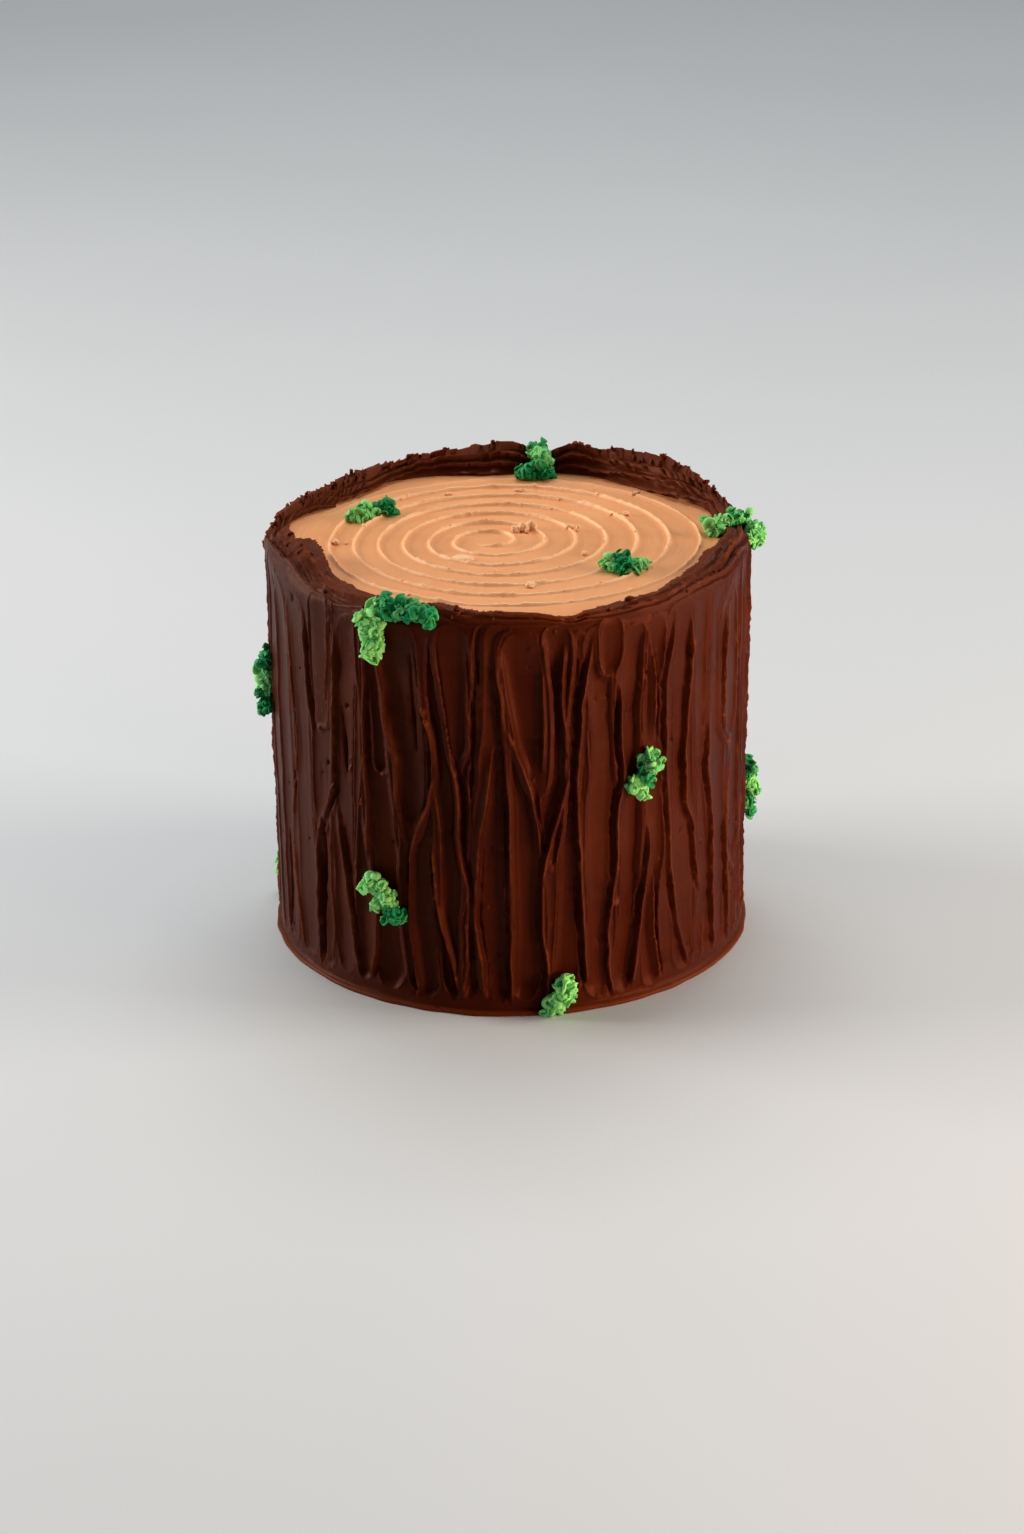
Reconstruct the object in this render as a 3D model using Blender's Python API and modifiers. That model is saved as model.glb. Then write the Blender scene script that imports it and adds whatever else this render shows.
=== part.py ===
"""A tall round layer cake iced as a tree stump.

The chocolate buttercream wall is worked with upright palette knife strokes that read as bark, and a
ragged collar of the same icing stands round the top edge. Inside the collar lies a round of caramel
buttercream with a spiral groove, like the growth rings of cut wood. Small clumps of green buttercream
strands sit on it as moss.

Units are metres, +Z is up, and the origin is the middle of the flat underside. Angles are in degrees,
counted from the front (-Y) towards the right (+X).
"""

import math
import random

import bmesh
import bpy
import numpy as np
from mathutils import Matrix, Vector, noise

MM = 0.001

# Cake and collar
BASE_RADIUS = 77.7 * MM
WALL_FLARE = 0.9 * MM
SHOULDER_HEIGHT = 131.5 * MM
FOOT_HEIGHT = 1.6 * MM
FOOT_PROUD = 0.9 * MM
COLLAR_INNER_RADIUS = 70.6 * MM
COLLAR_RISE = 4.5 * MM
COLLAR_EDGE_RISE = 0.5 * MM
FOLD_HEIGHT = 1.1 * MM
FOLDS_PER_METRE = 170.0
CREST_WAVE = 0.9
COLLAR_HEIGHTS = (  # angle, height of the crest in mm
    (-122, 135.0),
    (-105, 134.2),
    (-80, 138.0),
    (-58, 136.0),
    (-14, 135.0),
    (2, 135.3),
    (14, 133.4),
    (26, 135.0),
    (55, 136.0),
    (82, 139.4),
    (90, 136.4),
    (98, 135.2),
    (106, 136.6),
    (140, 140.6),
    (163, 140.4),
    (172, 137.6),
    (181, 140.2),
    (200, 138.6),
    (238, 135.0),
)
COLLAR_EDGE = (  # angle, how far the collar leans in over the caramel round, in mm
    (-120, 0.0),
    (-82, 5.0),
    (-66, 6.5),
    (-50, 2.5),
    (-14, 1.5),
    (14, -2.6),
    (30, 1.2),
    (60, 3.0),
    (82, 2.0),
    (110, -1.6),
    (135, 2.8),
    (165, 0.0),
    (200, -0.8),
    (240, 0.0),
)

# Caramel round
ROUND_RADIUS = 70.2 * MM
ROUND_UNDERSIDE = 127.0 * MM
ROUND_HEIGHT = 132.3 * MM
FIT_GAP = 0.35 * MM
SPIRAL_PITCH = 9.1 * MM
SPIRAL_START = 7.5 * MM
SPIRAL_END = 61.5 * MM
SPIRAL_OFFSET = 6.7 * MM
SPIRAL_DEPTH = 1.1 * MM
PEAK_PLACE = (5.5 * MM, 9.5 * MM)
PEAK_RADIUS = 2.4 * MM
PEAK_HEIGHT = 2.6 * MM

# Knife strokes
STROKE_DEPTH = 1.7 * MM
LIP_HEIGHT = 0.5 * MM
LIP_WIDTH = 0.9 * MM
SWAY_DEGREES = 0.35
PLAIN_BAND = 2.5 * MM
PLAIN_BAND_FADE = 3.0 * MM
FRONT_REACH = 80.0
LONG_STROKES = 22
STROKES_SEED = 11

# Moss
MOSS_SEED = 5
LOBE_RADIUS = 3.8 * MM
LOBE_SPACING = 4.6 * MM
LOBE_SQUASH = 0.8
LOBE_LIFT = 0.9 * MM
LOBE_SPREAD = 0.8 * MM
STRAND_RADIUS = 0.8 * MM
STRAND_SIDES = 4
STRAND_REACH = (0.6 * MM, 1.9 * MM)
STRAND_CHANCES = (1, 2)
LOWEST_MOSS = 0.8 * MM

# Mesh fineness
TURN_STEPS = 300
WALL_ROWS = 44
RIM_ROWS = 10
ROUND_RINGS = 52
BARK_TRIANGLES = 4550
ROUND_TRIANGLES = 1900

# Each stroke: angle low, angle high, height of its foot in mm, width in degrees, tip length in mm.
# A stroke is drawn upwards and wipes out what was there, so the order is the order of making: the
# long ones from the foot up come first.
FRONT_STROKES = (
    (-73.0, -74.0, 3.0, 8.0, 10),
    (-65.5, -66.0, 4.0, 8.5, 8),
    (-56.5, -57.5, 4.5, 8.5, 6),
    (-49.0, -49.5, 3.5, 6.0, 9),
    (-42.5, -43.5, 6.0, 7.0, 12),
    (-37.0, -39.5, 5.0, 8.5, 8),
    (-30.5, -31.0, 6.5, 8.0, 10),
    (-26.5, -25.0, 3.5, 6.5, 8),
    (-19.0, -20.0, 3.0, 8.0, 9),
    (-12.5, -14.0, 11.0, 7.0, 12),
    (-4.5, -5.0, 4.0, 9.0, 10),
    (4.0, 3.0, 4.5, 8.0, 16),
    (12.5, 12.5, 3.0, 9.0, 14),
    (20.5, 21.5, 3.5, 9.0, 12),
    (27.5, 29.0, 3.5, 7.0, 16),
    (34.5, 36.0, 3.0, 6.5, 10),
    (41.0, 41.5, 3.0, 6.5, 14),
    (54.5, 54.0, 4.0, 5.5, 9),
    (47.8, 46.5, 5.5, 8.5, 12),
    (60.0, 58.5, 3.5, 7.0, 8),
    (67.0, 66.5, 4.0, 8.5, 9),
    (74.5, 74.0, 3.0, 7.0, 8),
    (-51.5, -48.5, 52.0, 7.5, 26),
    (-50.5, -50.8, 88.0, 7.0, 6),
    (-30.5, -32.5, 79.0, 5.0, 6),
    (-24.0, -25.8, 57.0, 10.0, 34),
    (-12.0, -13.2, 82.0, 8.2, 30),
    (9.0, 10.5, 51.0, 6.5, 30),
    (6.0, 2.8, 74.0, 9.5, 44),
    (14.0, 13.6, 86.0, 5.8, 28),
    (30.3, 30.8, 58.0, 8.0, 14),
    (23.0, 23.6, 113.0, 6.5, 11),
    (51.0, 48.5, 29.0, 7.5, 12),
    (48.6, 47.6, 57.0, 9.0, 12),
    (68.0, 67.0, 29.0, 8.5, 12),
    (63.5, 64.5, 77.0, 9.5, 9),
)

# Each moss clump: its name and the places that it runs through. A place is on the side (angle, height
# in mm), on the round (x and y in mm) or on the collar (angle, 0 at its inner foot to 1 outside).
MOSS = (
    ("moss_round_left", (("round", -50.0, 23.5), ("round", -46.5, 27.0), ("round", -40.0, 29.5))),
    ("moss_round_right", (("round", 32.5, -27.0), ("round", 37.0, -29.5), ("round", 41.5, -27.5))),
    (
        "moss_collar_back",
        (("round", 5.5, 65.0), ("round", 12.5, 65.5), ("collar", 171, 0.3), ("collar", 172, 0.7)),
    ),
    (
        "moss_collar_right",
        (
            ("round", 66.0, 5.5),
            ("collar", 95, 0.12),
            ("collar", 98, 0.5),
            ("collar", 98, 0.85),
            ("side", 95, 130),
        ),
    ),
    (
        "moss_collar_left",
        (
            ("collar", -19, 0.82),
            ("collar", -25, 0.76),
            ("collar", -31, 0.84),
            ("side", -32, 127),
            ("side", -31, 120.5),
        ),
    ),
    ("moss_side_left", (("side", -82, 82), ("side", -84, 90), ("side", -82, 98))),
    ("moss_side_middle", (("side", 30.5, 75), ("side", 32.5, 80), ("side", 33.5, 84))),
    ("moss_side_low", (("side", -27.5, 31.5), ("side", -30, 36.5), ("side", -33, 42))),
    ("moss_foot", (("side", 8.5, 4.0), ("side", 13.0, 6.5), ("side", 11.5, 12))),
    ("moss_side_far_left", (("side", -104, 6), ("side", -105, 12))),
    ("moss_side_right", (("side", 94, 37), ("side", 96, 44), ("side", 95, 50))),
    ("moss_back_high", (("side", 124, 92), ("side", 127, 99), ("side", 126, 105))),
    ("moss_back_low", (("side", 148, 30), ("side", 152, 36))),
    ("moss_back_middle", (("side", 186, 66), ("side", 189, 73), ("side", 187, 80))),
    ("moss_back_left", (("side", 214, 112), ("side", 218, 107), ("side", 219, 100))),
)


def clear_scene():
    """Removes whatever the file opened with."""
    for obj in list(bpy.data.objects):
        bpy.data.objects.remove(obj)


def new_collection(name):
    collection = bpy.data.collections.new(name)
    bpy.context.scene.collection.children.link(collection)
    return collection


def icing(name, colour, roughness):
    """A buttercream: matt to satin, with no metal in it."""
    material = bpy.data.materials.new(name)
    material.use_nodes = True
    shader = material.node_tree.nodes["Principled BSDF"]
    shader.inputs["Base Color"].default_value = (*colour, 1.0)
    shader.inputs["Roughness"].default_value = roughness
    shader.inputs["Metallic"].default_value = 0.0
    return material


def round_the_turn(pairs, angles):
    """Smooth interpolation of (angle, value) pairs round the whole turn."""
    known = np.array(sorted((a % 360.0, v) for a, v in pairs))
    at = np.concatenate([known[-1:, 0] - 360.0, known[:, 0], known[:1, 0] + 360.0])
    value = np.concatenate([known[-1:, 1], known[:, 1], known[:1, 1]])
    turn = np.asarray(angles) % 360.0
    place = np.clip(np.searchsorted(at, turn, side="right") - 1, 0, len(at) - 2)
    share = (turn - at[place]) / (at[place + 1] - at[place])
    share = share * share * (3 - 2 * share)
    return value[place] * (1 - share) + value[place + 1] * share


def crest_height(angles):
    """Height of the collar's crest, with the uneven ends of the strokes that pushed it up."""
    ends = np.array([noise.noise(Vector((0.16 * a, 3.1, 0.0))) for a in np.atleast_1d(angles) % 360.0])
    return (round_the_turn(COLLAR_HEIGHTS, angles) + CREST_WAVE * ends) * MM


def inner_edge(angles):
    """Radius of the collar's inner edge just above the caramel round."""
    return COLLAR_INNER_RADIUS - round_the_turn(COLLAR_EDGE, angles) * MM


def all_strokes():
    """The front's strokes, then seeded ones of the same kind for the back."""
    draw = random.Random(STROKES_SEED)
    long_ones = []
    short_ones = []
    angle = FRONT_REACH
    while angle < 360.0 - FRONT_REACH:
        width = draw.uniform(6.5, 9.0)
        lean = draw.uniform(-1.2, 1.2)
        long_ones.append((angle, angle + lean, draw.uniform(3.0, 6.0), width, draw.uniform(8, 14)))
        if draw.random() < 0.62:
            foot = draw.choice((28.0, 52.0, 66.0, 84.0, 102.0)) + draw.uniform(-7.0, 7.0)
            tip = draw.choice((7.0, 12.0, 28.0, 36.0))
            aside = draw.uniform(-2.0, 2.0)
            short_ones.append((angle + aside, angle + aside + lean, foot, width * 1.02, tip))
        angle += width * 0.93
    draw.shuffle(short_ones)
    return (*FRONT_STROKES[:LONG_STROKES], *long_ones, *FRONT_STROKES[LONG_STROKES:], *short_ones)


def bark_relief(angles, heights):
    """How far the wall stands in (negative) or out of the smooth iced wall at each point."""
    relief = np.zeros(len(angles))
    top = SHOULDER_HEIGHT
    for number, (low, high, foot, width, tip) in enumerate(all_strokes()):
        foot = foot * MM
        share = np.clip((heights - foot) / (top - foot), 0.0, 1.0)
        sway = SWAY_DEGREES * np.sin(heights * 55.0 + number * 2.1)
        middle = low + (high - low) * share + sway
        aside = (angles - middle + 180.0) % 360.0 - 180.0
        across = np.radians(aside) * BASE_RADIUS
        run = np.clip((heights - foot) / (tip * MM), 0.0, 1.0)
        half = np.radians(width) / 2 * BASE_RADIUS * np.sqrt(run * (2 - run))
        inside = (heights > foot) & (np.abs(across) < half)
        x = across / np.maximum(half, 1e-6)
        sunk = STROKE_DEPTH * (0.75 + 0.5 * ((number * 0.618) % 1.0)) * np.minimum(1.0, run * 3.0)
        tilt = 0.25 * STROKE_DEPTH * math.sin(number * 1.7)
        scraped = -sunk * (1 - np.abs(x) ** 3) + tilt * x * (1 - x**2)
        beyond = np.abs(across) - half
        lip = LIP_HEIGHT * np.exp(-((beyond / LIP_WIDTH) ** 2)) * np.minimum(1.0, run * 3.0)
        near = (heights > foot) & ~inside & (beyond < 3 * LIP_WIDTH)
        relief = np.where(inside, scraped, relief)
        relief = np.where(near, np.maximum(relief, lip - 0.25 * STROKE_DEPTH), relief)
    low_band = np.clip((heights - PLAIN_BAND) / PLAIN_BAND_FADE, 0.0, 1.0)
    return relief * low_band


def spiral_relief(x, y):
    """The spiral that a palette knife presses into the round, drifting off centre towards its start."""
    mean = np.hypot(x, y)
    for _ in range(3):
        drift = -SPIRAL_OFFSET * (1 - mean / SPIRAL_END)
        mean = np.hypot(x - drift, y)
    turn = (np.arctan2(y, x - drift) / (2 * math.pi)) % 1.0
    count = (mean - SPIRAL_START) / SPIRAL_PITCH - turn
    share = count - np.floor(count)
    groove = 1 - np.abs(2 * share - 1) ** 3
    started = np.clip((mean - 0.45 * SPIRAL_START) / (0.5 * SPIRAL_START), 0.0, 1.0)
    fading = np.clip((SPIRAL_END + 3 * MM - mean) / (6 * MM), 0.0, 1.0)
    peak = np.exp(-(((x - PEAK_PLACE[0]) ** 2 + (y - PEAK_PLACE[1]) ** 2) / PEAK_RADIUS**2))
    return -SPIRAL_DEPTH * groove * started * fading + PEAK_HEIGHT * peak


def turned(name, profile, collection):
    """A closed solid of revolution about Z from (radius, height) points, top axis point first."""
    mesh = bpy.data.meshes.new(name)
    points = [(radius, 0.0, height) for radius, height in profile]
    mesh.from_pydata(points, [(i, i + 1) for i in range(len(points) - 1)], [])
    obj = bpy.data.objects.new(name, mesh)
    collection.objects.link(obj)
    screw = obj.modifiers.new("turn", "SCREW")
    screw.axis = "Z"
    screw.steps = TURN_STEPS
    screw.render_steps = TURN_STEPS
    screw.use_merge_vertices = True
    screw.merge_threshold = 0.00001
    return obj


def apply_modifiers(obj):
    """Replaces the object's mesh by what its modifiers make of it."""
    graph = bpy.context.evaluated_depsgraph_get()
    made = bpy.data.meshes.new_from_object(obj.evaluated_get(graph))
    old = obj.data
    obj.modifiers.clear()
    obj.data = made
    bpy.data.meshes.remove(old)


def points_of(obj):
    points = np.empty(len(obj.data.vertices) * 3)
    obj.data.vertices.foreach_get("co", points)
    return points.reshape(-1, 3)


def set_points(obj, points):
    obj.data.vertices.foreach_set("co", points.ravel())
    obj.data.update()


def thin_out(obj, triangles):
    """Keeps about that many triangles, the most where the relief is sharpest."""
    obj.data.calc_loop_triangles()
    thin = obj.modifiers.new("thin", "DECIMATE")
    thin.ratio = triangles / len(obj.data.loop_triangles)
    thin.use_collapse_triangulate = True
    apply_modifiers(obj)


def finish_icing(obj, material):
    obj.data.materials.clear()
    obj.data.materials.append(material)
    obj.data.shade_smooth()
    obj.data.set_sharp_from_angle(angle=math.radians(40))


def body_profile():
    """The cake's section: recess floor, collar, wall, foot and underside."""
    floor = ROUND_UNDERSIDE - FIT_GAP
    outer = BASE_RADIUS + WALL_FLARE
    middle = (COLLAR_INNER_RADIUS + outer) / 2
    half = (outer - COLLAR_INNER_RADIUS) / 2
    profile = [(0.0, floor), (0.5 * COLLAR_INNER_RADIUS, floor), (COLLAR_INNER_RADIUS, floor)]
    profile.append((COLLAR_INNER_RADIUS, ROUND_HEIGHT))
    for row in range(1, RIM_ROWS):
        turn = math.pi * row / RIM_ROWS
        rise = COLLAR_EDGE_RISE + (COLLAR_RISE - COLLAR_EDGE_RISE) * math.sin(turn) ** 0.8
        profile.append((middle - half * math.cos(turn), SHOULDER_HEIGHT + rise))
    for row in range(WALL_ROWS + 1):
        height = SHOULDER_HEIGHT + (FOOT_HEIGHT + 0.5 * MM - SHOULDER_HEIGHT) * row / WALL_ROWS
        profile.append((BASE_RADIUS + WALL_FLARE * height / SHOULDER_HEIGHT, height))
    profile.append((BASE_RADIUS + FOOT_PROUD, FOOT_HEIGHT))
    profile.append((BASE_RADIUS + FOOT_PROUD, 0.0))
    profile.append((0.0, 0.0))
    return profile


def worked_wall(points):
    """Moves the turned cake's points to where the knife left them."""
    radius = np.hypot(points[:, 0], points[:, 1])
    height = points[:, 2]
    angle = np.degrees(np.arctan2(points[:, 0], -points[:, 1]))
    outer = BASE_RADIUS + WALL_FLARE
    across = np.clip((radius - COLLAR_INNER_RADIUS) / (outer - COLLAR_INNER_RADIUS), 0.0, 1.0)
    raised = np.clip((height - ROUND_HEIGHT) / (3.5 * MM), 0.0, 1.0)
    in_recess = (height > 0.9 * ROUND_UNDERSIDE) & (radius < 0.99 * outer)
    # The collar's mouth is wavy, and the recess follows it with straight sides.
    lean = (inner_edge(angle) - COLLAR_INNER_RADIUS) * (1 - across)
    inward = np.where(in_recess, lean * np.minimum(radius / COLLAR_INNER_RADIUS, 1.0), 0.0)
    # The crest rises and falls, and its top is dragged into blunt folds.
    lift = (crest_height(angle) - SHOULDER_HEIGHT - COLLAR_RISE) * raised
    rate = FOLDS_PER_METRE
    folds = np.array([noise.noise(Vector((x * rate, y * rate, 7.0))) for x, y in points[:, :2]])
    on_crest = raised * np.clip(across * 4, 0.0, 1.0) * np.clip((1 - across) * 6, 0.0, 1.0)
    relief = bark_relief(angle, height) * ((radius > 0.985 * outer) | (height < 0.95 * SHOULDER_HEIGHT))
    on_wall = (radius > BASE_RADIUS - 0.1 * MM) & (height > FOOT_HEIGHT + 0.1 * MM)
    new_radius = radius + inward + np.where(on_wall, relief, 0.0)
    scale = np.where(radius > 1e-6, new_radius / np.maximum(radius, 1e-6), 1.0)
    new_height = height + lift + FOLD_HEIGHT * folds * on_crest
    return np.column_stack([points[:, 0] * scale, points[:, 1] * scale, new_height])


def cake_body(collection, material):
    """Sponge and chocolate buttercream as one solid, since nothing shows inside an uncut cake."""
    obj = turned("chocolate_cake", body_profile(), collection)
    apply_modifiers(obj)
    set_points(obj, worked_wall(points_of(obj)))
    thin_out(obj, BARK_TRIANGLES)
    finish_icing(obj, material)
    return obj


def caramel_round(collection, material):
    """The spiral iced round that fills the recess inside the collar."""
    profile = [(ROUND_RADIUS * ring / ROUND_RINGS, ROUND_HEIGHT) for ring in range(ROUND_RINGS + 1)]
    profile.append((ROUND_RADIUS, ROUND_UNDERSIDE))
    profile.append((0.0, ROUND_UNDERSIDE))
    obj = turned("caramel_round", profile, collection)
    apply_modifiers(obj)
    points = points_of(obj)
    on_top = points[:, 2] > ROUND_HEIGHT - 0.01 * MM
    radius = np.hypot(points[:, 0], points[:, 1])
    angle = np.degrees(np.arctan2(points[:, 0], -points[:, 1]))
    edge = inner_edge(angle) - (COLLAR_INNER_RADIUS - ROUND_RADIUS)
    grow = 1 + (edge / ROUND_RADIUS - 1) * (radius / ROUND_RADIUS) ** 3
    points[:, :2] *= grow[:, None]
    points[:, 2] += np.where(on_top, spiral_relief(points[:, 0], points[:, 1]), 0.0)
    set_points(obj, points)
    thin_out(obj, ROUND_TRIANGLES)
    finish_icing(obj, material)
    return obj


def place_on_cake(kind, a, b):
    """Point and outward direction for a place on the side, the round or the collar."""
    if kind == "round":
        return Vector((a * MM, b * MM, ROUND_HEIGHT)), Vector((0, 0, 1))
    turn = math.radians(a)
    out = Vector((math.sin(turn), -math.cos(turn), 0.0))
    if kind == "side":
        return out * (BASE_RADIUS + WALL_FLARE * b * MM / SHOULDER_HEIGHT) + Vector((0, 0, b * MM)), out
    inner = float(inner_edge(np.array([a]))[0])
    outer = BASE_RADIUS + WALL_FLARE
    crest = float(crest_height(np.array([a]))[0])
    lean = math.pi * (1 - b)
    point = out * (inner + (outer - inner) * b)
    point.z = SHOULDER_HEIGHT + (crest - SHOULDER_HEIGHT) * math.sin(lean) ** 0.8
    return point, (out * math.cos(lean) + Vector((0, 0, 1)) * (0.35 + math.sin(lean))).normalized()


def along_path(places):
    """Lobe middles every few millimetres along a clump's places, with their outward directions."""
    ends = [place_on_cake(*place) for place in places]
    found = [ends[0]]
    for (start, out_a), (end, out_b) in zip(ends, ends[1:]):
        steps = math.ceil((end - start).length / LOBE_SPACING)
        for step in range(1, steps + 1):
            share = step / steps
            found.append((start.lerp(end, share), out_a.lerp(out_b, share).normalized()))
    return found


def lobe_mesh(name, point, out, size):
    """A squat rounded lobe lying against the icing."""
    form = bmesh.new()
    turn = out.to_track_quat("Z", "Y").to_matrix().to_4x4()
    squash = Matrix.Diagonal((size, size, size * LOBE_SQUASH, 1.0))
    place = Matrix.Translation(point) @ turn @ squash
    bmesh.ops.create_icosphere(form, subdivisions=1, radius=1.0, matrix=place)
    mesh = bpy.data.meshes.new(name)
    form.to_mesh(mesh)
    form.free()
    return mesh


def strand_mesh(name, root, way, length):
    """One stubby strand of buttercream, a little thinner at its tip."""
    form = bmesh.new()
    turn = way.to_track_quat("Z", "Y").to_matrix().to_4x4()
    place = Matrix.Translation(root + way * length / 2) @ turn
    bmesh.ops.create_cone(
        form,
        cap_ends=True,
        segments=STRAND_SIDES,
        radius1=STRAND_RADIUS * 1.25,
        radius2=STRAND_RADIUS * 0.8,
        depth=length,
        matrix=place,
    )
    mesh = bpy.data.meshes.new(name)
    form.to_mesh(mesh)
    form.free()
    return mesh


def swollen_copy(obj, collection):
    """A cutter that stands a small gap proud of the given solid all over."""
    mesh = obj.data.copy()
    mesh.materials.clear()
    cutter = bpy.data.objects.new(obj.name + "_cutter", mesh)
    collection.objects.link(cutter)
    swell = cutter.modifiers.new("swell", "DISPLACE")
    swell.strength = FIT_GAP
    swell.mid_level = 0.0
    apply_modifiers(cutter)
    cutter.hide_render = True
    cutter.display_type = "WIRE"
    return cutter


def keep_largest_piece(mesh):
    """Drops the loose scraps that a cut leaves."""
    form = bmesh.new()
    form.from_mesh(mesh)
    left = set(form.faces)
    pieces = []
    while left:
        waiting = [left.pop()]
        piece = []
        while waiting:
            face = waiting.pop()
            piece.append(face)
            for edge in face.edges:
                if len(edge.link_faces) != 2:
                    continue
                for other in edge.link_faces:
                    if other in left:
                        left.remove(other)
                        waiting.append(other)
        pieces.append(piece)
    pieces.sort(key=lambda piece: sum(face.calc_area() for face in piece))
    scraps = [face for piece in pieces[:-1] for face in piece]
    bmesh.ops.delete(form, geom=scraps, context="FACES")
    form.to_mesh(mesh)
    form.free()


def boolean(obj, operation, others, solver):
    """Joins the collection to the object, or cuts it away, and applies that."""
    cut = obj.modifiers.new(operation.lower(), "BOOLEAN")
    cut.operation = operation
    cut.operand_type = "COLLECTION"
    cut.collection = others
    cut.solver = solver
    apply_modifiers(obj)


def moss_clump(name, places, draw, collection, helpers, cutters, material):
    """Lobes along the clump's path with strands fused on, cut to lie on the icing."""
    parts = []
    for point, out in along_path(places):
        size = LOBE_RADIUS * draw.uniform(0.9, 1.15)
        if point.z < 2 * LOBE_RADIUS:
            size *= 0.85
        aside = Vector([draw.uniform(-1, 1) for _ in range(3)])
        aside = (aside - out * aside.dot(out)).normalized() * LOBE_SPREAD * draw.random()
        middle = point + out * LOBE_LIFT + aside
        parts.append(lobe_mesh("lobe", middle, out, size))
        for _ in range(draw.choice(STRAND_CHANCES)):
            way = Vector([draw.uniform(-1, 1) for _ in range(3)])
            way = (way - out * way.dot(out) + out * draw.uniform(0.35, 1.2)).normalized()
            length = size + draw.uniform(*STRAND_REACH)
            parts.append(strand_mesh("strand", middle, way, length))
    clump = bpy.data.objects.new(name, parts[0])
    collection.objects.link(clump)
    pieces = [bpy.data.objects.new("piece", mesh) for mesh in parts[1:]]
    for piece in pieces:
        helpers.objects.link(piece)
    boolean(clump, "UNION", helpers, "MANIFOLD")
    for piece in pieces:
        bpy.data.objects.remove(piece)
    boolean(clump, "DIFFERENCE", cutters, "MANIFOLD")
    keep_largest_piece(clump.data)
    finish_icing(clump, material)
    return clump


def floor_cutter(collection):
    """A slab that trims the lowest moss clear of what the cake stands on."""
    bpy.ops.mesh.primitive_cube_add(size=0.3, location=(0, 0, LOWEST_MOSS - 0.15))
    slab = bpy.context.active_object
    slab.name = "floor_cutter"
    for other in slab.users_collection:
        other.objects.unlink(slab)
    collection.objects.link(slab)
    slab.hide_render = True
    slab.display_type = "WIRE"


def main():
    clear_scene()
    cake = new_collection("tree_stump_cake")
    cutters = new_collection("cutters")
    helpers = new_collection("helpers")
    chocolate = icing("chocolate_buttercream", (0.068, 0.019, 0.008), 0.42)
    caramel = icing("caramel_buttercream", (0.69, 0.33, 0.14), 0.45)
    moss = icing("moss_buttercream", (0.03, 0.24, 0.08), 0.55)
    body = cake_body(cake, chocolate)
    top = caramel_round(cake, caramel)
    swollen_copy(body, cutters)
    swollen_copy(top, cutters)
    floor_cutter(cutters)
    draw = random.Random(MOSS_SEED)
    for name, places in MOSS:
        moss_clump(name, places, draw, cake, helpers, cutters, moss)


main()
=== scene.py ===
"""The looks of a tall round cake iced as a tree stump.

Chocolate buttercream is drawn up the wall in palette knife strokes, and folded over into a torn collar.
Inside the collar lies caramel buttercream with a spiral groove. Green buttercream, pressed through a
sieve, sits on it in clumps. Metres, +Z up; angles in degrees from the front (-Y) towards the right (+X).
"""

import math
import random

import bmesh
import bpy
import numpy as np
from mathutils import Matrix, Vector, noise


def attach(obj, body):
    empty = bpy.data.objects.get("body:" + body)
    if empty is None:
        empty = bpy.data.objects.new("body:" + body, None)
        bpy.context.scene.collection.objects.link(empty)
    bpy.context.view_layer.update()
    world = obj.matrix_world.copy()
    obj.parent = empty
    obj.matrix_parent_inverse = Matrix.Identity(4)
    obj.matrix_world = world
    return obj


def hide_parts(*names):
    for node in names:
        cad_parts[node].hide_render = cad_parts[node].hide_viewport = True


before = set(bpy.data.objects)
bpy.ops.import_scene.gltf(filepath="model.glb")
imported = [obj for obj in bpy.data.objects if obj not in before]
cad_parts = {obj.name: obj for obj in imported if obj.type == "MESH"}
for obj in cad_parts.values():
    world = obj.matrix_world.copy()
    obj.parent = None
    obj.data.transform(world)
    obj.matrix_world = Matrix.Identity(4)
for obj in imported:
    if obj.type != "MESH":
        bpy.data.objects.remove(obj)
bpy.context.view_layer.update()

MM = 0.001
FULL_TURN = 2 * math.pi

# Cake and collar
WALL_RADIUS = 77.7 * MM
WALL_FLARE = 0.9 * MM
WALL_TOP = 127.0 * MM
SHOULDER_HEIGHT = 131.5 * MM
FOOT_HEIGHT = 1.5 * MM
FOOT_PROUD = 1.3 * MM
# How pale the foot ledge is painted: a painted highlight.
FOOT_HIGHLIGHT = 0.75
ROUND_HEIGHT = 132.3 * MM
ROUND_UNDERSIDE = 127.2 * MM
COLLAR_INNER_RADIUS = 70.4 * MM
COLLAR_HEIGHTS = (  # angle, height of the crest in mm
    (-122, 135.0), (-105, 134.4), (-92, 133.6), (-85, 134.2), (-78, 141.2), (-66, 139.0), (-56, 135.4),
    (-30, 134.4), (-14, 135.4), (0, 135.8), (7, 135.0), (14, 133.3), (22, 134.6), (32, 135.2),
    (42, 134.8), (55, 136.0), (82, 139.2), (90, 136.2), (98, 134.9), (106, 136.4), (116, 137.8),
    (128, 139.8), (148, 140.2), (162, 140.6), (171, 137.2), (180, 140.4), (200, 138.6), (238, 135.0),
)
COLLAR_EDGE = (  # angle, how far the collar leans in over the caramel, in mm
    (-120, 0.0), (-102, -2.6), (-88, -2.0), (-79, 7.0), (-66, 9.0), (-55, 5.5), (-42, 3.4), (-14, 1.5),
    (14, -3.6), (30, 1.4), (60, 5.0), (82, 3.0), (112, -2.2), (135, 2.8), (165, -1.0), (182, 2.2),
    (206, -2.4), (230, 0.4),
)
ROUGHNESS_ROUND = (  # angle, how torn the collar is there, from 0 to 1
    (-110, 0.75), (-78, 1.0), (-60, 0.7), (-35, 0.3), (0, 0.22), (40, 0.3), (75, 0.75), (88, 0.35),
    (96, 0.1), (106, 0.4), (120, 1.0), (180, 0.9), (220, 0.8),
)

# Bark mesh
COLUMNS = 1640
WALL_ROWS = 196
CROWN_ROWS = 60
BARK_TRIANGLES = 196000

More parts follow.
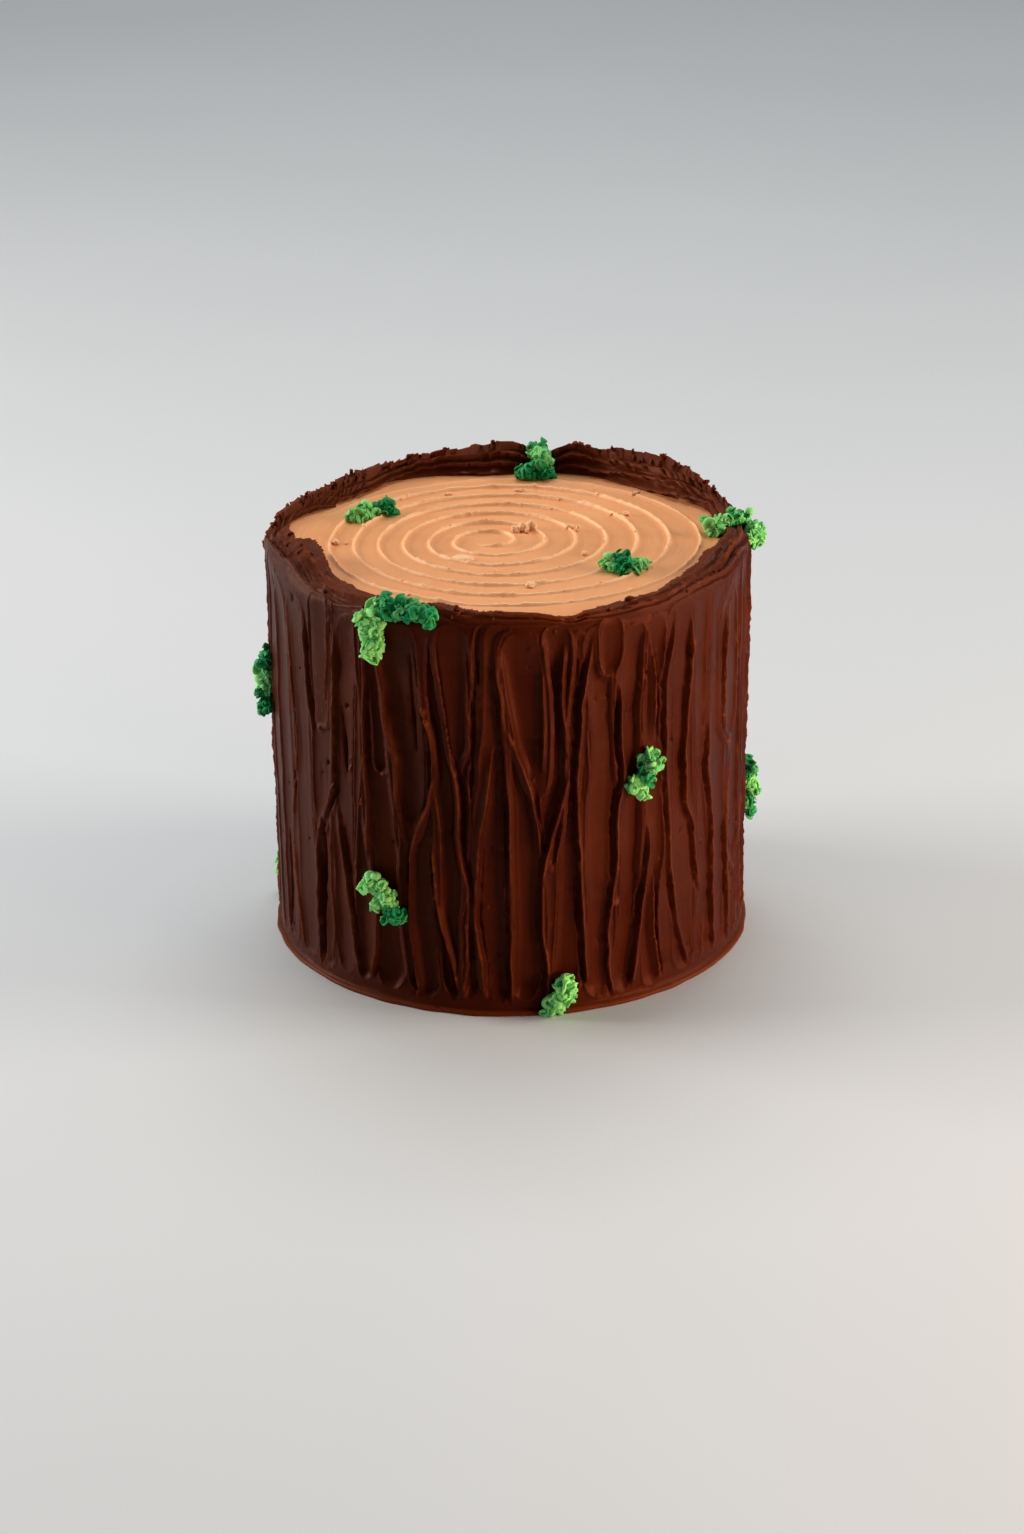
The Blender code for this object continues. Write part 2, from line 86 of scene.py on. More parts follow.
# Knife strokes. Each is: angle low, angle high, height of its foot in mm, width in degrees, tip length
# in mm. A stroke is drawn upwards and wipes out what was there, so the order is the order of making.
STROKE_DEPTH = 2.1 * MM
LIP_HEIGHT = 0.62 * MM
LIP_WIDTH = 0.48 * MM
CREASE_DEPTH = 0.75 * MM
STROKE_ROUNDING = 6.0 * MM
STROKE_FADE = 15.0 * MM
HIGH_FOOT = 15.0 * MM
LONG_STROKES = (
    (-73.5, -74.5, 3.0, 8.0, 10),
    (-66.5, -68.0, 4.0, 8.0, 8),
    (-57.5, -58.5, 4.5, 8.5, 6),
    (-50.5, -49.5, 3.5, 5.0, 9),
    (-43.5, -40.0, 5.0, 8.0, 12),
    (-37.5, -33.0, 5.0, 6.0, 8),
    (-30.0, -32.5, 4.5, 8.5, 10),
    (-20.5, -25.5, 3.5, 8.5, 8),
    (-13.5, -15.0, 4.0, 7.0, 9),
    (-9.5, -6.0, 6.0, 5.0, 10),
    (-4.0, -3.5, 4.0, 7.5, 10),
    (4.0, 2.8, 4.5, 8.0, 16),
    (12.5, 15.5, 3.0, 8.0, 14),
    (20.5, 21.5, 3.5, 8.0, 12),
    (28.0, 30.0, 3.5, 8.0, 16),
    (34.0, 36.5, 3.0, 5.5, 10),
    (46.0, 43.5, 4.0, 8.5, 9),
    (53.5, 50.5, 5.0, 7.5, 12),
    (59.5, 57.5, 3.5, 7.5, 8),
    (67.5, 66.5, 4.0, 8.5, 9),
    (75.0, 74.5, 3.0, 7.5, 8),
)
SHORT_STROKES = (
    (-51.5, -48.5, 52.0, 7.5, 26),
    (-50.5, -50.8, 88.0, 7.0, 6),
    (-30.5, -32.5, 79.0, 5.0, 6),
    (-24.0, -25.8, 57.0, 10.0, 34),
    (-12.0, -13.2, 82.0, 8.2, 30),
    (9.0, 10.5, 51.0, 6.5, 30),
    (6.0, 2.8, 74.0, 9.5, 44),
    (23.0, 23.6, 113.0, 6.5, 11),
    (68.0, 67.0, 29.0, 8.5, 12),
    (63.5, 64.5, 77.0, 9.5, 9),
)
SLOTS = (  # angle low, angle high, foot and head in mm, width and depth in mm
    (-53.2, -50.4, 5, 58, 2.2, 2.6),
    (-41.2, -43.0, 76, 99, 1.6, 1.8),
    (-62.0, -61.0, 60, 92, 1.2, 1.6),
    (-70.0, -69.4, 8, 44, 1.5, 2.0),
    (-22.6, -23.2, 88, 122, 1.4, 1.5),
    (-8.8, -9.2, 84, 128, 1.5, 1.4),
    (78.0, 77.5, 6, 70, 1.3, 1.8),
)

# Ridges left standing between strokes: which side the hollow beside it is on, then its course as
# (angle, height in mm) from the foot upwards.
RIDGES = (
    (-1, (-60.5, 5), (-64.5, 43), (-60.5, 78), (-62.5, 106), (-64, 129)),
    (1, (-53, 84), (-55, 102), (-55.5, 127)),
    (-1, (-48, 91), (-46, 130)),
    (1, (-53, 4), (-53, 46), (-51, 54), (-46, 69), (-45, 90), (-44, 126)),
    (-1, (-48.5, 5), (-46.5, 19), (-47.5, 30), (-47.5, 62)),
    (1, (-39.5, 6), (-41, 25), (-43, 44), (-45.5, 66)),
    (1, (-36, 47), (-35.5, 68), (-36, 88), (-35, 121)),
    (1, (-25, 56), (-27.5, 72), (-27, 81), (-30, 97), (-30.5, 114)),
    (
        -1,
        *((-22.5, 4), (-25, 33), (-24, 54), (-22.5, 61), (-19, 72)),
        *((-17.5, 81), (-18, 92), (-20.5, 103), (-21, 113)),
    ),
    (-1, (-12.5, 5), (-13.5, 14), (-17.5, 37), (-18.5, 61)),
    (1, (-11, 5), (-10, 44), (-12, 54), (-12, 81), (-15, 93)),
    (1, (-12, 81), (-9, 93), (-9, 126)),
    (-1, (0, 4), (0, 67), (-1.5, 97), (-3, 126)),
    (1, (-6, 5), (-8.5, 33), (-7, 62), (-3.5, 94)),
    (1, (-35, 7), (-33.5, 28)),
    (1, (7, 51), (5.5, 74), (3, 84), (-1.5, 101)),
    (-1, (7.5, 82), (7.5, 94), (7.5, 125)),
    (-1, (14.5, 86), (13, 90), (11.5, 106), (13, 129)),
    (-1, (18, 8), (16.5, 35), (15.5, 81), (16.5, 103), (19.5, 129)),
    (-1, (9, 6), (7, 36), (7.5, 50), (11, 68), (14.5, 86)),
    (
        -1,
        *((25, 3), (23, 14), (23.5, 33), (25.5, 51), (25.5, 70)),
        *((27, 78), (26.5, 91), (26.5, 110), (24.5, 112)),
    ),
    (1, (35.5, 88), (35.5, 109), (33.5, 126)),
    (-1, (29.5, 5), (32, 28), (33, 37), (34.5, 52), (34.5, 62)),
    (1, (37.5, 5), (35.5, 24), (35, 50)),
    (-1, (47.5, 5), (44, 18), (41, 41), (39, 74), (38.5, 108), (42, 130)),
    (-1, (52.5, 28), (50, 34), (48.5, 56), (45.5, 63), (45, 81), (46.5, 105), (47, 129)),
    (-1, (66, 76), (62, 80), (60.5, 99), (63.5, 125)),
    (1, (70, 31), (66, 38), (63, 54), (66, 75)),
    (-1, (58, 5), (56.5, 35), (56.5, 48), (53.5, 73), (54, 91)),
    (1, (52.5, 5), (52.5, 27)),
    (-1, (66.5, 4), (63, 53)),
    (1, (76, 10), (72.5, 49), (79.5, 68)),
)
RIDGE_HEIGHT = 0.85 * MM
RIDGE_WIDTH = 0.5 * MM
RIDGE_REACH = 24.0  # the most degrees that a ridge strays from its foot
RIDGE_HOLLOW = 1.0 * MM
HOLLOW_ASIDE = 1.2 * MM
HOLLOW_WIDTH = 0.6 * MM
SLOPE_START = 0.9 * MM
SLOPE_LENGTH = 5.0 * MM
WIPED_WIDTH = 1.9 * MM
LOW_START = 12 * MM  # a ridge that starts below this rises to its full height sooner
RISE_LOW = 4 * MM
RISE_HIGH = 9 * MM
RUN_OUT = 11 * MM
BACK_RIDGES = 26
STROKES_SEED = 11

# The photograph shows the wall to this many degrees on either side. Marks get weaker from CALM_START on.
FRONT_REACH = 80.0
CALM_START = 32.0
CALM_SPAN = 10.0
WAVER_LENGTH = 0.16

# Small marks on the wall: angle and height in mm of the ones that show, then seeded ones all round
PITS = ((-41, 99), (-48, 77), (-46, 71), (33, 112), (61, 88))
BUMPS = ((-40, 78), (-20, 103), (-19.5, 99), (25, 36), (52, 47), (-37, 68))
SMALL_PITS = 110
SMALL_BUMPS = 80
SWELL = 0.35 * MM
GRAIN = 0.36 * MM
SCRAPED_HEIGHT = 1.9 * MM
SCRAPED_SPAN = 2.0 * MM
# How high a lip must stand to be painted fully pale: a painted highlight.
HIGHLIGHT_HEIGHT = 0.7 * MM

# Collar
SHOULDER_START = 130.5 * MM
SHOULDER_SPAN = 4.5 * MM
SHEET_TURNS = 5.6
SLIVER_TURNS = 11.0
SPIKE_LENGTH = 2.6 * MM
# How pale the folds' torn edges and the smooth rim are painted: painted highlight.
FOLD_HIGHLIGHT = 0.8
RIM_HIGHLIGHT = 0.55

# Caramel round
ROUND_RINGS = 310
ROUND_COLUMNS = 760
ROUND_TRIANGLES = 196000
SPIRAL_PITCH = 9.1 * MM
SPIRAL_START = 7.5 * MM
SPIRAL_END = 61.5 * MM
SPIRAL_OFFSET = 6.7 * MM
SPIRAL_LIP = 1.15 * MM
SPIRAL_LIP_WIDTH = 0.56 * MM
SPIRAL_HOLLOW = 0.5 * MM
SPIRAL_DRAG = 0.06 * MM
ROUND_RADIUS = 70.0 * MM
# How pale lumps and collar flakes are painted: a painted highlight.
LUMP_HIGHLIGHT = 0.9
LUMPS = (  # x, y, half length, half width and height in mm, how torn from 0 to 1
    (2.6, 10.6, 2.4, 1.9, 1.9, 0.5),
    (5.0, 11.6, 2.6, 2.0, 2.3, 0.4),
    (7.6, 13.0, 2.5, 1.7, 2.8, 0.35),
    (6.0, 9.4, 1.2, 0.8, 1.2, 0.5),
    (-14.5, -17.0, 4.6, 3.2, 1.5, 0.1),
    (20.2, 12.6, 2.0, 1.4, 1.6, 0.4),
    (23.0, 11.0, 1.6, 1.2, 1.8, 0.4),
    (43.0, 47.5, 2.4, 1.0, 0.8, 0.8),
    (-56.0, 0.5, 1.9, 1.4, 1.2, 0.5),
    (-52.5, -0.4, 0.8, 0.6, 0.6, 0.6),
    (24.5, -12.5, 1.6, 1.1, 1.0, 0.5),
    (7.0, -41.5, 3.2, 2.0, 1.2, 0.4),
    (-4.0, -29.0, 1.2, 0.9, 0.9, 0.5),
    (39.0, 26.0, 1.8, 1.2, 1.2, 0.7),
    (-20.0, 48.5, 1.9, 0.8, 0.8, 0.7),
    (4.0, 51.5, 2.6, 0.8, 0.7, 0.8),
)
COLLAR_TEARS = (  # angle and size in mm of the torn flakes that stand on the collar
    (262, 1.5), (256, 1.1), (243, 1.3), (231, 1.0), (224, 1.5), (213, 1.9), (206, 1.6), (196, 1.2),
    (184, 1.1), (152, 1.3), (145, 1.0), (136, 1.5), (130, 1.9), (122, 1.5), (116, 2.0), (110, 1.5),
    (286, 1.4), (292, 1.2),
)
COLLAR_SHREDS = {"bits": 16000.0, "smallest": 0.4 * MM, "largest": 1.1 * MM, "stretch": 1.6}
SPIRAL_CRUMBS = {"bits": 60000.0, "smallest": 0.2 * MM, "largest": 0.55 * MM, "stretch": 1.4}
LUMPS_SEED = 4
FLAKES_SEED = 40
FOOT_SEED = 3

# Moss clumps: which CAD node each one stands for, and its tone at one end, in the middle and at the
# other end, from 0 for the darkest green to 1 for the palest.
MOSS_TONES = {
    "moss_round_left": (0.8, 0.75, 0.05),
    "moss_round_right": (0.75, 0.05, 0.7),
    "moss_collar_back": (0.1, 0.75, 0.35),
    "moss_collar_right": (0.8, 0.3, 0.6),
    "moss_collar_left": (0.95, 0.15, 0.25),
    "moss_side_left": (0.15, 0.8, 0.1),
    "moss_side_middle": (0.8, 0.1, 0.55),
    "moss_side_low": (0.1, 0.7, 0.95),
    "moss_foot": (0.5, 0.75, 0.9),
    "moss_side_far_left": (0.8, 0.7, 0.6),
    "moss_side_right": (0.15, 0.75, 0.15),
    "moss_back_high": (0.8, 0.2, 0.1),
    "moss_back_low": (0.1, 0.7, 0.8),
    "moss_back_middle": (0.6, 0.1, 0.7),
    "moss_back_left": (0.15, 0.2, 0.85),
}
LOWEST_MOSS = 0.15 * MM
STRAND_LENGTH = 1.45 * MM
STRAND_RADIUS = 0.5 * MM
STRANDS_PER_AREA = 330000.0
STRAND_CURL = 0.9 * MM
STRAND_LEAN = 1.1
TONE_CHANCE = 0.22
CORE_SHRINK = 1.5 * MM

# Colours
CHOCOLATE_DARK = (0.029, 0.0037, 0.0008, 1)
CHOCOLATE_LIGHT = (0.044, 0.0061, 0.0014, 1)
# Painted highlight on lips, ridges, the foot and flakes
CHOCOLATE_LIP_HIGHLIGHT = (0.125, 0.026, 0.0055, 1)
# Painted light on the collar
CHOCOLATE_COLLAR_LIT = (0.125, 0.026, 0.0075, 1)
# Painted shade in the bubble pits
CHOCOLATE_PIT_SHADE = (0.02, 0.005, 0.002, 1)
CARAMEL_SMEAR = (0.42, 0.20, 0.10, 1)
CARAMEL_DARK = (0.75, 0.315, 0.120, 1)
CARAMEL_LIGHT = (0.83, 0.372, 0.152, 1)
# Painted highlight on the spiral's lips and the lumps
CARAMEL_LIP_HIGHLIGHT = (0.97, 0.60, 0.33, 1)
# Painted shade in the bubble pits
CARAMEL_PIT_SHADE = (0.40, 0.16, 0.06, 1)
MOSS_DARK = ((0.0005, 0.18, 0.05, 1), (0.003, 0.29, 0.088, 1))
MOSS_PALE = ((0.15, 0.60, 0.15, 1), (0.34, 0.80, 0.27, 1))
FLOOR_GREYS = ((0.58, 0.615, 0.64, 1), (0.64, 0.675, 0.70, 1))

# Floor and lights. A light is: name, place, what it faces, its two sides, watts and colour.
FLOOR_SIZE = 12.0
FLOOR_ROUGHNESS = 0.55
CAKE_MIDDLE = (0.0, 0.0, 0.08)
LIGHTS = (
    ("left_window", (-1.3, 0.2, 0.5), CAKE_MIDDLE, (0.7, 0.8), 20.5, (1.0, 0.91, 0.83)),
    ("right_window", (1.3, -0.06, 0.5), CAKE_MIDDLE, (0.6, 0.8), 14.5, (1.0, 0.90, 0.77)),
    ("overhead", (0.0, 0.4, 1.5), CAKE_MIDDLE, (1.0, 0.8), 8.5, (0.96, 0.98, 1.0)),
    ("low_glow", (0.62, -0.42, 0.06), (0.05, -0.03, 0.025), (0.3, 0.12), 5.5, (1.0, 0.58, 0.32)),
    ("far_floor", (0.0, 1.9, 2.3), (0.0, 1.8, 0.0), (2.4, 0.8), 20.0, (0.97, 0.99, 1.0)),
)
SKY_COLOUR = (0.95, 0.96, 1.0, 1.0)
SKY_STRENGTH = 0.12

# Camera, fitted to the photograph
LENS = 85.0
SENSOR = 36.0
CAMERA_PLACE = (0.0006, -1.1098, 0.5225)
CAMERA_PITCH = 22.93
CAMERA_ROLL = -0.5


class Flow:
    """What a node puts out, so that sums on it read as plain sums."""

    def __init__(self, socket):
        self.socket = socket

    def __add__(self, other):
        return calc(self.socket.id_data, "ADD", self, other)

    def __sub__(self, other):
        return calc(self.socket.id_data, "SUBTRACT", self, other)

    def __rsub__(self, other):
        return calc(self.socket.id_data, "SUBTRACT", other, self)

    def __mul__(self, other):
        return calc(self.socket.id_data, "MULTIPLY", self, other)

    def __truediv__(self, other):
        return calc(self.socket.id_data, "DIVIDE", self, other)

    def __pow__(self, other):
        return calc(self.socket.id_data, "POWER", self, other)


def feed(socket, value):
    """Joins a socket to another, or sets it to a plain value."""
    if isinstance(value, Flow):
        value = value.socket
    if isinstance(value, bpy.types.NodeSocket):
        socket.id_data.links.new(value, socket)
    elif value is not None:
        socket.default_value = value


def add(tree, kind, *values, sockets=None, **settings):
    """A node with its settings made, and its inputs fed in order, then by name."""
    node = tree.nodes.new(kind)
    for name, value in settings.items():
        setattr(node, name, value)
    for label, value in [*enumerate(values), *(sockets or {}).items()]:
        feed(node.inputs[label], value)
    return node


def calc(tree, operation, *values):
    """The result of one sum on numbers."""
    return Flow(add(tree, "ShaderNodeMath", *values, operation=operation).outputs[0])


def vector_calc(tree, operation, *values):
    """The result of one sum on vectors: a number for a length or a dot product."""
    node = add(tree, "ShaderNodeVectorMath", *values, operation=operation)
    return Flow(node.outputs["Value" if operation in ("LENGTH", "DOT_PRODUCT") else "Vector"])


def scaled(tree, vector, factor):
    """A vector made longer by a factor."""
    return add(tree, "ShaderNodeVectorMath", vector, operation="SCALE", sockets={"Scale": factor}).outputs[0]


def joined(tree, x, y, z):
    """A vector of three numbers."""
    return add(tree, "ShaderNodeCombineXYZ", x, y, z).outputs[0]


def spread(tree, value, low, high, to_low=0.0, to_high=1.0):
    """Moves a number from one range to another, held at the ends."""
    return Flow(add(tree, "ShaderNodeMapRange", value, low, high, to_low, to_high).outputs["Result"])


def cloud(tree, place, scale, detail=2.0, roughness=0.5):
    """Soft noise from about 0 to 1 at a place."""
    values = {"Vector": place, "Scale": scale, "Detail": detail, "Roughness": roughness}
    return Flow(add(tree, "ShaderNodeTexNoise", sockets=values).outputs["Fac"])


def mix_colour(tree, factor, a, b):
    """Colour a where the factor is 0 and b where it is 1."""
    values = {"Factor": factor, "A": a, "B": b}
    return add(tree, "ShaderNodeMix", data_type="RGBA", sockets=values).outputs["Result"]


def geometry_tree(name, numbers):
    """An empty geometry node tree with a mesh in and out, a material, and named numbers."""
    tree = bpy.data.node_groups.new(name, "GeometryNodeTree")
    tree.interface.new_socket("Geometry", in_out="INPUT", socket_type="NodeSocketGeometry")
    tree.interface.new_socket("Material", in_out="INPUT", socket_type="NodeSocketMaterial")
    for label, value in numbers.items():
        kind = "Int" if isinstance(value, int) else "Vector" if isinstance(value, tuple) else "Float"
        socket = tree.interface.new_socket(label, in_out="INPUT", socket_type="NodeSocket" + kind)
        socket.default_value = value
    tree.interface.new_socket("Geometry", in_out="OUTPUT", socket_type="NodeSocketGeometry")
    return tree, {socket.name: Flow(socket) for socket in add(tree, "NodeGroupInput").outputs}


def close_tree(tree, geometry, material):
    """Ends a geometry node tree with real mesh in its material."""
    real = add(tree, "GeometryNodeRealizeInstances", geometry).outputs[0]
    painted = add(tree, "GeometryNodeSetMaterial", real, sockets={"Material": material}).outputs[0]
    add(tree, "NodeGroupOutput", painted)


def mark(tree, geometry, name, value):
    """Stores a number under a name on every point."""
    values = {"Name": name, "Value": value}
    kind = "GeometryNodeStoreNamedAttribute"
    return add(tree, kind, geometry, data_type="FLOAT", domain="POINT", sockets=values).outputs[0]


def marked(tree, name):
    """The number that was stored under a name."""
    return Flow(add(tree, "GeometryNodeInputNamedAttribute", name, data_type="FLOAT").outputs[0])


def chance(tree, low, high, seed=0):
    """A random number between two limits for each point, or a random vector between two vectors."""
    if isinstance(low, tuple):
        node = add(tree, "FunctionNodeRandomValue", low, high, data_type="FLOAT_VECTOR")
        return Flow(node.outputs[0])
    node = add(tree, "FunctionNodeRandomValue", None, None, low, high, data_type="FLOAT")
    feed(node.inputs["Seed"], seed)
    return Flow(node.outputs[1])


def strewn(tree, given, density):
    """Random points over the mesh that goes into a tree."""
    values = {"Density": density, "Seed": given["Seed"]}
    return add(tree, "GeometryNodeDistributePointsOnFaces", given["Geometry"], sockets=values).outputs


def copies(tree, points, form, turn, size):
    """A copy of a form on each point."""
    values = {"Instance": form, "Rotation": turn, "Scale": size}
    return add(tree, "GeometryNodeInstanceOnPoints", points, sockets=values).outputs[0]


def smoothed(tree, geometry):
    """Geometry with smooth shading."""
    return add(tree, "GeometryNodeSetShadeSmooth", geometry).outputs[0]


def apply_modifiers(obj):
    """Replaces the object's mesh by what its modifiers make of it."""
    graph = bpy.context.evaluated_depsgraph_get()
    made = bpy.data.meshes.new_from_object(obj.evaluated_get(graph))
    old = obj.data
    obj.modifiers.clear()
    obj.data = made
    if old.users == 0:
        bpy.data.meshes.remove(old)


def grow(obj, tree, material, **numbers):
    """Runs a geometry node tree on the object with these inputs, and keeps the plain mesh."""
    modifier = obj.modifiers.new(tree.name, "NODES")
    modifier.node_group = tree
    for item in tree.interface.items_tree:
        if item.in_out != "INPUT":
            continue
        if item.name == "Material":
            modifier[item.identifier] = material
        elif item.name.lower().replace(" ", "_") in numbers:
            modifier[item.identifier] = numbers[item.name.lower().replace(" ", "_")]
    apply_modifiers(obj)


def new_object(name, mesh):
    obj = bpy.data.objects.new(name, mesh)
    bpy.context.scene.collection.objects.link(obj)
    return obj


def thin_out(obj, triangles):
    """Keeps about that many triangles, the most where the relief is sharpest."""
    obj.data.calc_loop_triangles()
    ratio = triangles / len(obj.data.loop_triangles)
    if ratio < 1.0:
        thin = obj.modifiers.new("thin", "DECIMATE")
        thin.ratio = ratio
        apply_modifiers(obj)


def ease(share):
    """A share from 0 to 1 with a gentle start and end."""
    return share * share * (3 - 2 * share)


def degrees_off(angles, centre):
    """Degrees from a centre, from -180 to 180."""
    return (angles - centre + 180.0) % 360.0 - 180.0


def round_the_turn(pairs, angles):
    """Smooth interpolation of (angle, value) pairs round the whole turn."""
    known = np.array(sorted((a % 360.0, v) for a, v in pairs))
    at = np.concatenate([known[-1:, 0] - 360.0, known[:, 0], known[:1, 0] + 360.0])
    value = np.concatenate([known[-1:, 1], known[:, 1], known[:1, 1]])
    turn = np.asarray(angles) % 360.0
    place = np.clip(np.searchsorted(at, turn, side="right") - 1, 0, len(at) - 2)
    share = ease((turn - at[place]) / (at[place + 1] - at[place]))
    return value[place] * (1 - share) + value[place + 1] * share


def waver(draw, heights, steps, size):
    """A smooth random line from -size to size along the height."""
    knots = draw.uniform(-size, size, steps + 2)
    place = heights / (WAVER_LENGTH / steps)
    low = np.clip(np.floor(place).astype(int), 0, steps)
    share = ease(np.clip(place - low, 0.0, 1.0))
    return knots[low] * (1 - share) + knots[low + 1] * share


def drift(draw, up, angles, cells_up, cells_around):
    """Smooth noise from 0 to 1 over so many cells up and round the whole turn, closed on itself."""
    knots = draw.random((cells_up + 1, cells_around))
    around = angles * cells_around / 360
    row = np.floor(up).astype(int)
    column = np.floor(around).astype(int)
    f = ease(up - row)
    g = ease(around - column)
    row = row % (cells_up + 1)
    next_row = (row + 1) % (cells_up + 1)
    column = column % cells_around
    next_column = (column + 1) % cells_around
    low = knots[row, column] * (1 - g) + knots[row, next_column] * g
    high = knots[next_row, column] * (1 - g) + knots[next_row, next_column] * g
    return low * (1 - f) + high * f


def all_strokes():
    """The front's strokes, then seeded ones of the same kind for the back."""
    draw = random.Random(STROKES_SEED)
    back_long = []
    back_short = []
    angle = FRONT_REACH
    while angle < 360.0 - FRONT_REACH:
        width = draw.uniform(6.5, 9.0)
        lean = draw.uniform(-1.2, 1.2)
        back_long.append((angle, angle + lean, draw.uniform(3.0, 6.0), width, draw.uniform(8, 14)))
        if draw.random() < 0.62:
            foot = draw.choice((28.0, 52.0, 66.0, 84.0, 102.0)) + draw.uniform(-7.0, 7.0)
            tip = draw.choice((7.0, 12.0, 28.0, 36.0))
            aside = draw.uniform(-2.0, 2.0)
            back_short.append((angle + aside, angle + aside + lean, foot, width * 1.02, tip))
        angle += width * 0.93
    draw.shuffle(back_short)
    return (*LONG_STROKES, *back_long, *SHORT_STROKES, *back_short)


def calmer(angle, most):
    """How strong a mark is: 1 in front and on the back, less near the left and right of the view."""
    off = abs(degrees_off(angle, 0.0))
    if off > FRONT_REACH:
        return 1.0
    return 1.0 - most * min(max((off - CALM_START) / CALM_SPAN, 0.0), 1.0)


def press_stroke(relief, angles, heights, stroke, number, draw):
    """Draws one knife stroke into the relief: a scraped floor with a thin lip pushed up on each side."""
    low, high, foot, width, tip = stroke
    foot = foot * MM
    top = SHOULDER_HEIGHT + draw.uniform(-3.2, 2.0) * MM
    half_width = math.radians(width) / 2 * WALL_RADIUS
    centre = (low + high) / 2
    near = np.abs(degrees_off(angles, centre)) < width / 2 + abs(high - low) / 2 + 3.5
    columns = np.nonzero(near)[0]
    share = np.clip((heights - foot) / (SHOULDER_HEIGHT - foot), 0.0, 1.0)
    sway = 0.35 * np.sin(heights * 55.0 + number * 2.1)
    middle = low + (high - low) * share + sway + waver(draw, heights, 5, 1.1)
    across = np.radians(degrees_off(angles[columns][None, :], middle[:, None])) * WALL_RADIUS
    run = np.clip((heights - foot) / (tip * MM), 0.0, 1.0)
    end = np.clip((top - heights) / STROKE_ROUNDING, 0.0, 1.0)
    opening = np.sqrt(run * (2 - run)) * np.sqrt(end * (2 - end))
    edges = [
        (waver(draw, heights, 4, 0.9) + waver(draw, heights, 16, 0.4) + waver(draw, heights, 60, 0.09)) * MM
        for _ in range(2)
    ]
    crumbs = 0.9 + waver(draw, heights, 24, 0.3) + waver(draw, heights, 90, 0.16)
    left, right = (np.maximum(half_width * opening + edge * opening, 1e-6)[:, None] for edge in edges)
    half = np.where(across < 0, left, right)
    x = across / half
    live = ((heights > foot) & (heights < top))[:, None]
    inside = live & (np.abs(x) < 1)
    fade = np.clip((top - heights) / STROKE_FADE, 0.0, 1.0)
    calm = calmer(centre, 0.6)
    press = (np.minimum(1.0, run * 3.0) * fade * (2 - fade))[:, None]
    # Strokes differ in depth, tilt and lips by their number.
    depth = calm * STROKE_DEPTH * (0.72 + 0.5 * ((number * 0.618) % 1.0))
    tilt = 0.62 * calm * STROKE_DEPTH * math.sin(number * 1.7)
    floor = -depth * (1 - np.abs(x) ** 3.0) + tilt * x * (1 - np.abs(x) ** 3.0)
    crease_side = 1.0 if number % 3 else -1.0
    floor = (floor - CREASE_DEPTH * np.exp(-(((x * crease_side - 0.88) / 0.07) ** 2))) * press
    beyond = np.abs(across) - half
    uneven = 0.45 * math.sin(number * 2.9)
    sides = np.where(across < 0, 0.75 + uneven, 0.75 - uneven)
    lip = calm * LIP_HEIGHT * sides * crumbs[:, None] * press
    lip = lip * np.exp(-((np.maximum(beyond, 0) / LIP_WIDTH) ** 2))
    part = relief[:, columns]
    outside = live & ~inside & (beyond < 3 * LIP_WIDTH)
    part = np.where(inside, floor, part)
    part = np.where(outside, np.maximum(part, lip - 0.12 * STROKE_DEPTH), part)
    rounded = inside & (np.abs(x) > 0.9)
    part = np.where(rounded, np.maximum(part, lip * (np.abs(x) - 0.9) / 0.1), part)
    relief[:, columns] = part
    if foot > HIGH_FOOT:
        dimple(relief, angles, heights, low, foot - 0.4 * MM, 1.3 * MM, 0.7 * MM)


def all_ridges():
    """The front's ridges, then seeded ones of the same kind for the back."""
    draw = random.Random(STROKES_SEED + 1)
    back = []
    for number in range(BACK_RIDGES):
        angle = FRONT_REACH + (360.0 - 2 * FRONT_REACH) * (number + draw.random()) / BACK_RIDGES
        height = draw.choice((4.0, 6.0, 30.0, 55.0))
        path = [(angle, height)]
        while path[-1][1] < draw.choice((70.0, 90.0, 110.0)):
            step = draw.uniform(14.0, 30.0)
            path.append((path[-1][0] + draw.uniform(-3.0, 3.0), min(path[-1][1] + step, 129.0)))
        back.append((draw.choice((-1, 1)), *path))
    return (*RIDGES, *back)


def raise_ridge(relief, angles, heights, ridge, draw):
    """A thin ridge on the wall, with a hollow scraped along one side of it and old marks wiped off."""
    side, *path = ridge
    start = path[0][0]
    levels = np.array([level for _, level in path]) * MM
    middle = np.interp(heights, levels, [angle for angle, _ in path])
    middle = np.convolve(np.pad(middle, 4, mode="edge"), np.ones(9) / 9, mode="valid")
    middle = middle + waver(draw, heights, 18, 0.28) + waver(draw, heights, 60, 0.1)
    rise = RISE_LOW if levels[0] < LOW_START else RISE_HIGH
    below = np.clip((heights - levels[0]) / rise, 0.0, 1.0)
    above = np.clip((levels[-1] - heights) / RUN_OUT, 0.0, 1.0)
    ends = (below * above)[:, None]
    columns = np.nonzero(np.abs(degrees_off(angles, start)) < RIDGE_REACH)[0]
    across = np.radians(degrees_off(angles[columns][None, :], middle[:, None])) * WALL_RADIUS * side
    strength = 0.9 + waver(draw, heights, 14, 0.35) + waver(draw, heights, 80, 0.25)
    part = relief[:, columns]
    part = part * (1 - 0.85 * ends * np.exp(-((across / WIPED_WIDTH) ** 4)))
    lip = np.exp(-((np.abs(across) / RIDGE_WIDTH) ** 1.7))
    calm = calmer(start, 0.55)
    dug = 1.15 + waver(draw, heights, 10, 0.75 * calm)[:, None]
    hollow = dug * np.exp(-(((across - HOLLOW_ASIDE) / HOLLOW_WIDTH) ** 2))
    slope = np.exp(-np.maximum(across, 0.0) / SLOPE_LENGTH) * np.clip(across / SLOPE_START, 0.0, 1.0)
    shape = RIDGE_HEIGHT * lip - RIDGE_HOLLOW * (hollow + calm * slope)
    relief[:, columns] = part + strength[:, None] * ends * shape


